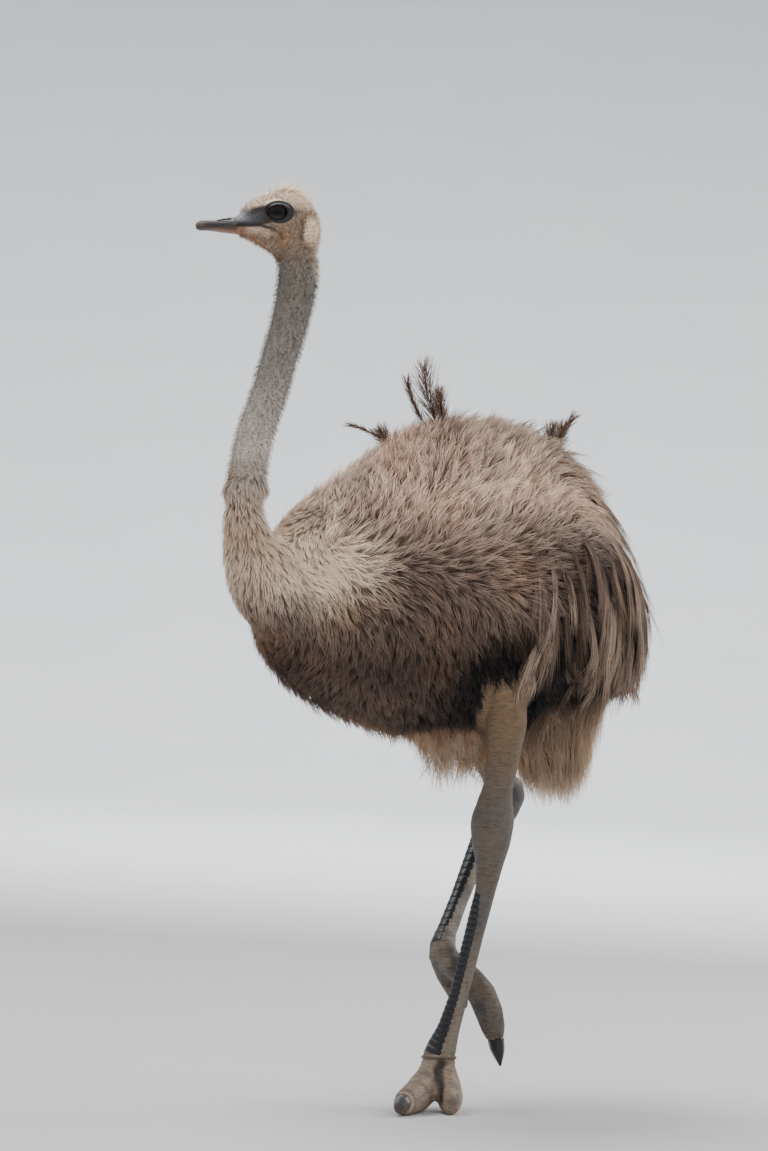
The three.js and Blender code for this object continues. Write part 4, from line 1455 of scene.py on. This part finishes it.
def head_depth(places, normals):
    ahead, aside, above = head_frame(places)
    return 0.0035 + 0.017 * ease(above, 16, 44) * ease(-ahead, -60, -10)


# ---- Bill, eyes, claws ----
BILL_GRAIN = 0.0011  # size of the remesh's cells
CLAW_GRAIN = 0.0010
HORN_ROUNDS = 8  # of smoothing


def horn_piece(name, node, grain, material, slot, shape, colours, matt):
    """A horn part copied from its node, made smooth and fine, and dull where it is matt."""
    piece = merged_copy(name, [node])
    modify(piece, "REMESH", mode="VOXEL", voxel_size=grain)
    modify(piece, "SMOOTH", factor=0.5, iterations=HORN_ROUNDS)
    swell(piece, shape(corners(piece)) * MM)
    shade_smooth(piece)
    add_attribute(piece, "marking", colours(corners(piece)))
    add_attribute(piece, "matt", matt(corners(piece)))
    dress(piece, material, slot, node)
    return piece


def nostril_distance(places):
    """Distance from the slanting nostril slits, in millimetres; the sides are alike."""
    ahead, aside, above = head_frame(places)
    return face_distance(ahead, above, NOSTRIL) + 3 * ease(-np.abs(aside), -3.5, -1.5)


def bill_shape(places):
    """A full nail at the tip, rimmed nostrils and a sharp cutting edge."""
    ahead, aside, above = head_frame(places)
    slit = nostril_distance(places)
    nail = 1.2 * ease(ahead, 104, 122) + 1.2 * ease(ahead, 130, 144)
    arch = 4.4 * bell(ahead, 97, 18) * ease(above, -24, -16)
    return 0.4 + nail + arch + 0.5 * bell(slit, 4.4, 1.2) - 2.8 * bell(slit, 0, 2.4)


def lower_bill_shape(places):
    ahead, aside, above = head_frame(places)
    return 0.4 + 1.2 * ease(ahead, 130, 144)


def claw_shape(places):
    """The lifted foot's claw is stout at its root."""
    x, y, z = places.T
    return 0.4 + 3.2 * ease(z, 0.090, 0.122) * ease(y, 0.05, 0.15)


def bill_matt(places):
    """Dull inside the nostrils, along the dusky edge and next to the face."""
    ahead, aside, above = head_frame(places)
    dull = np.maximum(0.6 * bill_edge(places), 0.85 * (1 - ease(ahead, 76, 98)))
    return np.maximum(1 - ease(nostril_distance(places), 2.2, 3.6), dull)


def bill_edge(places):
    ahead, aside, above = head_frame(places)
    return ease(-above - 0.03 * (ahead - 80), 18.5, 21.5) * ease(np.abs(aside), 3, 7)


def polished(places):
    """Nowhere dull."""
    return np.zeros(len(places))


def bill_marking(places):
    """Grey, paler on top as a painted highlight, with a dusky edge and tip, and black inside the nostrils
    as painted shade.
    """
    ahead, aside, above = head_frame(places)
    return layered(
        BILL_GREY,
        # Painted highlight along the top.
        (BILL_PALE, 0.5 * ease(above, -23, -18) * ease(ahead, 84, 104)),
        (BILL_EDGE, 0.95 * bill_edge(places)),
        (BILL_TIP, 0.8 * ease(ahead, 128, 144)),
        (LORE, 0.85 * (1 - ease(ahead, 74, 94))),
        # Painted shade, black inside the nostrils.
        (PITCH * 0.4, 1 - ease(nostril_distance(places), 2.2, 3.6)),
    )


def lower_bill_marking(places):
    """Brown, with a dusky edge and tip."""
    ahead, aside, above = head_frame(places)
    return layered(
        LOWER_BILL,
        (LOWER_BILL_TIP, 0.85 * ease(ahead, 110, 134)),
        (LOWER_BILL_EDGE, 0.92 * ease(above, -38, -34.5)),
    )


def claw_marking(places):
    """Grey nail with a brown tip and a painted highlight along its ridge on the standing foot, a black
    claw on the lifted one.
    """
    x, y, z = places.T
    return layered(
        CLAW_TIP,
        (CLAW_GREY, ease(z, 0.014, 0.028)),
        # Painted highlight along the nail's ridge.
        (CLAW_RIDGE, 0.7 * bell(x, 0.018, 0.006) * ease(z, 0.018, 0.032)),
        (CLAW_BLACK, ease(y, 0.05, 0.15)),
    )


# ---- Scutes ----
SHANK_LINES = {  # down the middle of each shank
    "left": [(.067, .122, .580), (.059, .132, .538), (.052, .139, .500), (.040, .145, .448),
             (.010, .149, .344), (-.017, .145, .224), (-.035, .141, .160), (-.046, .136, .124),
             (-.050, .133, .090)],
    "right": [(-.168, .417, .645), (-.172, .433, .620), (-.173, .418, .594), (-.175, .395, .565),
              (-.172, .365, .528), (-.142, .270, .407), (-.114, .207, .346), (-.100, .181, .322),
              (-.090, .165, .290)],
}
SCUTE_ROWS = {"left": (0.440, 0.108, 27), "right": (0.600, 0.316, 20)}  # top, bottom and number of plates
SCUTE_TURN = {"left": math.radians(2), "right": math.radians(-14)}  # from straight ahead
SCUTE_CROWN = {"left": 1.4, "right": 0.6}  # how far a plate bulges, in millimetres
SCUTE_REACH = {"left": math.radians(46), "right": math.radians(50)}  # round the shank on each side
SCUTE_THICK = 0.0022
SCUTE_START = 0.07  # the corners of a plate start this far from the middle of the shank and move in


def scute_strip(side, shank, material):
    """Horn plates that overlap downwards along the front of one shank."""
    deselect()
    bpy.ops.mesh.primitive_grid_add(x_subdivisions=8, y_subdivisions=5, size=2)
    pattern = bpy.context.object
    grid = corners(pattern)
    plates = []
    for index in range(SCUTE_ROWS[side][2]):
        plate = duplicate(pattern)
        set_corners(plate, plate_places(side, shank, index, grid[:, 0], grid[:, 1]))
        plates.append(plate)
    bpy.data.objects.remove(pattern)
    piece = joined(plates, f"scutes_{side}")
    modify(piece, "SOLIDIFY", thickness=SCUTE_THICK, offset=-1)
    face_outwards(piece)
    modify(piece, "SUBSURF", levels=1, render_levels=1)
    shade_smooth(piece)
    add_attribute(piece, "marking", np.broadcast_to(SCUTE, (len(piece.data.vertices), 3)))
    dress(piece, material, "shank_scutes")


def plate_places(side, shank, index, across, down):
    """One plate's corners: laid on the shank, pillowed, and raised at the lower edge."""
    line = np.array(SHANK_LINES[side])[::-1]
    top, bottom, count = SCUTE_ROWS[side]
    height = top + (bottom - top) * (index + 0.5) / count
    centre, above, below = (shank_point(line, height + shift) for shift in (0, 0.005, -0.005))
    way = unit(below - above)
    pitch = (top - bottom) / count / -way[2]
    front = tangent(-BACKWARD, way)
    taper = min(1, (index + 1) / 5) * (1 if side == "left" else min(1, (count - index) / 4))
    turn = across * (1 - 0.14 * down**4) * SCUTE_REACH[side] * (0.4 + 0.6 * taper)
    turn = turn + SCUTE_TURN[side]
    outward = front * np.cos(turn)[:, None] + np.cross(way, front) * np.sin(turn)[:, None]
    start = centre + way * (down * 0.52 * pitch)[:, None] + outward * SCUTE_START
    places = np.empty_like(start)
    for k, (begin, out) in enumerate(zip(start, outward)):
        hit = shank.tree.ray_cast(begin, -out, SCUTE_START)[0]
        places[k] = hit if hit is not None else begin - out * 0.045
    pillow = 0.8 + SCUTE_CROWN[side] * (1 - across**4) * (1 - down**4) + 0.5 * down
    return places + outward * (pillow * MM)[:, None]


def shank_point(line, height):
    return np.array([np.interp(height, line[:, 2], line[:, axis]) for axis in range(3)])


# ---- Loose plumes on the back ----
BACK_PLUMES = [  # root, tip, bow, longest barb and widest angle of the barbs
    ((0.000, -0.022, 1.350), (-0.031, -0.049, 1.486), 0.006, 0.066, 48),
    ((-0.018, -0.037, 1.355), (-0.053, -0.070, 1.453), 0.006, 0.026, 36),
    ((0.006, -0.012, 1.360), (-0.004, -0.024, 1.436), 0.004, 0.044, 44),
    ((-0.034, 0.350, 1.320), (0.000, 0.385, 1.412), 0.004, 0.030, 34),
    ((-0.036, 0.345, 1.310), (-0.031, 0.356, 1.393), 0.002, 0.044, 50),
    ((-0.030, 0.348, 1.310), (-0.016, 0.370, 1.395), -0.002, 0.044, 46),
    ((-0.045, -0.085, 1.300), (-0.126, -0.160, 1.356), -0.012, 0.020, 36),
    ((-0.045, -0.085, 1.290), (-0.081, -0.117, 1.351), -0.004, 0.044, 56),
]
BARBS = 240
BARB_RINGS = 5


def shaft_point(root, tip, bow, share):
    share = np.asarray(share)[..., None]
    return root + (tip - root) * share + bow * 4 * share * (1 - share)


def lone_plume(rng, root, tip, bend, longest, widest):
    """A shaft and its loose barbs, laid out as the strands of one tuft."""
    root, tip = np.array(root), np.array(tip)
    plane = unit(np.array([math.sin(VIEW_AZIMUTH), -math.cos(VIEW_AZIMUTH), 0.15]))
    bow = np.cross(plane, unit(tip - root)) * bend
    share = np.linspace(0, 1, BARB_RINGS)
    centre = np.empty((BARBS, BARB_RINGS, 3))
    centre[0] = shaft_point(root, tip, bow, share)
    whole = np.linalg.norm(tip - root)
    for barb in range(1, BARBS):
        start = rng.uniform(0.0, 0.94)
        foot = shaft_point(root, tip, bow, start)
        way = unit(shaft_point(root, tip, bow, start + 0.04) - foot)
        angle = math.radians(rng.uniform(0.25, 1.0) * widest) * rng.choice([-1, 1])
        around = math.radians(rng.normal(0, 45))
        sway = (np.cross(plane, way) * math.cos(around) + plane * math.sin(around)) * math.sin(angle)
        reach = min(longest, whole * (1.12 - start)) * rng.uniform(0.5, 1.0)
        step = (reach * share)[:, None]
        centre[barb] = foot + unit(way * math.cos(angle) + sway) * step + way * step * share[:, None] * 0.3
    ahead = unit(np.gradient(centre, axis=1))
    aside = unit(np.cross(ahead, plane))
    widths = 0.0007 * np.interp(share, [0, 0.75, 1], [1, 0.9, 0])[None].repeat(BARBS, 0)
    widths[0] *= 3.2
    return centre, aside, np.cross(aside, ahead), widths, rng.uniform(-1, 1, BARBS)


def lay_strands(name, made, patches, tone, colour, material, slot):
    """One piece of tufts that were each laid at their own place, all of one colour."""
    stacked = tuple(np.stack(part) for part in zip(*made))
    shades = {"tone": tone, "marking": np.broadcast_to(colour, (len(made), 3))}
    dress(coat_piece(name, stacked, patches, shades), material, slot)


def grow_back_plumes(material):
    rng = np.random.default_rng(29)
    made = [lone_plume(rng, *plume) for plume in BACK_PLUMES]
    roots = np.array([root for root, *_ in BACK_PLUMES])
    tone = rng.uniform(0.2, 0.7, (len(made), BARBS))
    tone[:, 0] = 0
    lay_strands("back_plumes", made, around_body(roots), tone, LOOSE_PLUME, material, "body_plumage")


# ---- Lashes ----
def grow_lashes(material):
    """A row of fine dark lashes on each upper lid."""
    rng = np.random.default_rng(31)
    made = []
    for side, out in OUTWARD.items():
        for turn in np.radians(np.linspace(25, 150, 26)):
            ahead = OPENING_LONG * 1.03 * math.cos(turn)
            above = OPENING_TALL * 1.05 * math.sin(turn)
            bulge = math.sqrt(max(0.0, 1 - (ahead / EYE_LONG) ** 2 - (above / EYE_TALL) ** 2))
            root = EYES[side] + MM * (ahead * HEAD_FORWARD + above * UP + (EYE_DEEP * bulge + 1.0) * out)
            way = unit(0.9 * out + math.cos(turn) * 0.5 * HEAD_FORWARD - 0.2 * UP)
            share = np.linspace(0, 1, 5)[:, None]
            reach = MM * rng.uniform(6, 9)
            centre = root + way * share * reach + UP * (share**2) * reach * 0.5
            ahead_way = unit(np.gradient(centre, axis=0))
            aside = unit(np.cross(ahead_way, UP))
            facing = np.cross(aside, ahead_way)
            widths = 0.0005 * np.array([1, 1, 0.8, 0.6, 0])
            made.append((centre[None], aside[None], facing[None], widths[None], np.zeros(1)))
    roots = np.array([centre[0, 0] for centre, *_ in made])
    tone = np.full((len(made), 1), 0.3)
    lay_strands("lashes", made, around_neck(roots), tone, DARK, material, "head_down")


def make_eye(side, material):
    deselect()
    bpy.ops.mesh.primitive_uv_sphere_add(segments=64, ring_count=48, radius=1)
    eye = bpy.context.object
    eye.name = f"eyeball_{side}"
    unit_points = corners(eye)
    set_corners(eye, in_eye(side, unit_points, EYE_LONG, EYE_TALL, EYE_DEEP))
    face_outwards(eye)
    add_attribute(eye, "outward", np.hypot(unit_points[:, 0], unit_points[:, 1]))
    shade_smooth(eye)
    dress(eye, material, "eye", f"eye_{side}")


# ---- The making ----
FLOOR_SIDE = 64
FLAT_WITHIN = 12  # the floor is level up to here, and rises from here to the distance of the backdrop
BACKDROP_AT = 30
BACKDROP_HEIGHT = 9


def make_floor():
    """A floor that sweeps up into a backdrop."""
    bpy.ops.mesh.primitive_grid_add(x_subdivisions=120, y_subdivisions=120, size=FLOOR_SIDE)
    floor = bpy.context.object
    floor.name = "studio_floor"
    points = corners(floor)
    away = np.linalg.norm(points[:, :2], axis=1)
    points[:, 2] = BACKDROP_HEIGHT * ease(away, FLAT_WITHIN, BACKDROP_AT)
    set_corners(floor, points)
    bpy.ops.object.shade_smooth()
    floor.data.materials.append(floor_finish())


THIGH_LEFT = Surface(bpy.data.objects["drumstick_left"])
THIGH_RIGHT = Surface(bpy.data.objects["drumstick_right"])

make_camera()
make_light()
make_floor()
feathers = plumage_finish()
torso = body_skin()
neck = neck_skin()
grow_plumage(Surface(torso), Surface(neck), feathers, down_finish())
grow_back_plumes(feathers)
grow_lashes(feathers)
legs = {side: leg_skin(side) for side in SIDES}
scutes = horn_finish("scute_horn", (0.55, 0.55, 0.58), (2.4, 2.1, 1.9), 0.43, 0.10)
for side, leg in legs.items():
    scute_strip(side, Surface(leg), scutes)
skin = whole_skin(torso, neck, legs["left"], legs["right"])
places = corners(skin)
nails = [middle(f"claw_{side}") for side in SIDES]
nail_distance = np.minimum(*(np.linalg.norm(places - nail, axis=1) for nail in nails)) / MM
above_collar = ease(places[:, 2], COLLAR - 0.01, COLLAR + 0.01)
add_attribute(skin, "rings", np.minimum(nail_distance, 90))
add_attribute(skin, "marking", marking(places))
add_attribute(skin, "bare", bare_skin(places))
add_attribute(skin, "down", above_collar * ease(-places[:, 1], 0.36, 0.40))
dress(skin, skin_finish(), "body_plumage", *FLESH_NODES, "neck_base", "neck_upper", "head")
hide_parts(*[f"{part}_{side}" for part in LEG_NODES for side in SIDES])
bill = horn_finish("bill_horn", (0.8, 0.78, 0.75), (1.3, 1.28, 1.25), 0.42, 0.3)
horn_piece("bill_top", "bill_upper", BILL_GRAIN, bill, "bill_horn", bill_shape, bill_marking, bill_matt)
horn_piece("bill_bottom", "bill_lower", BILL_GRAIN, bill, "bill_horn", lower_bill_shape,
           lower_bill_marking, polished)
claws = horn_finish("claw_horn", (0.6, 0.6, 0.62), (1.4, 1.4, 1.4), 0.42, 0.2)
for side in SIDES:
    horn_piece(f"nail_{side}", f"claw_{side}", CLAW_GRAIN, claws, "claw_horn", claw_shape,
               claw_marking, polished)
    make_eye(side, eye_finish())
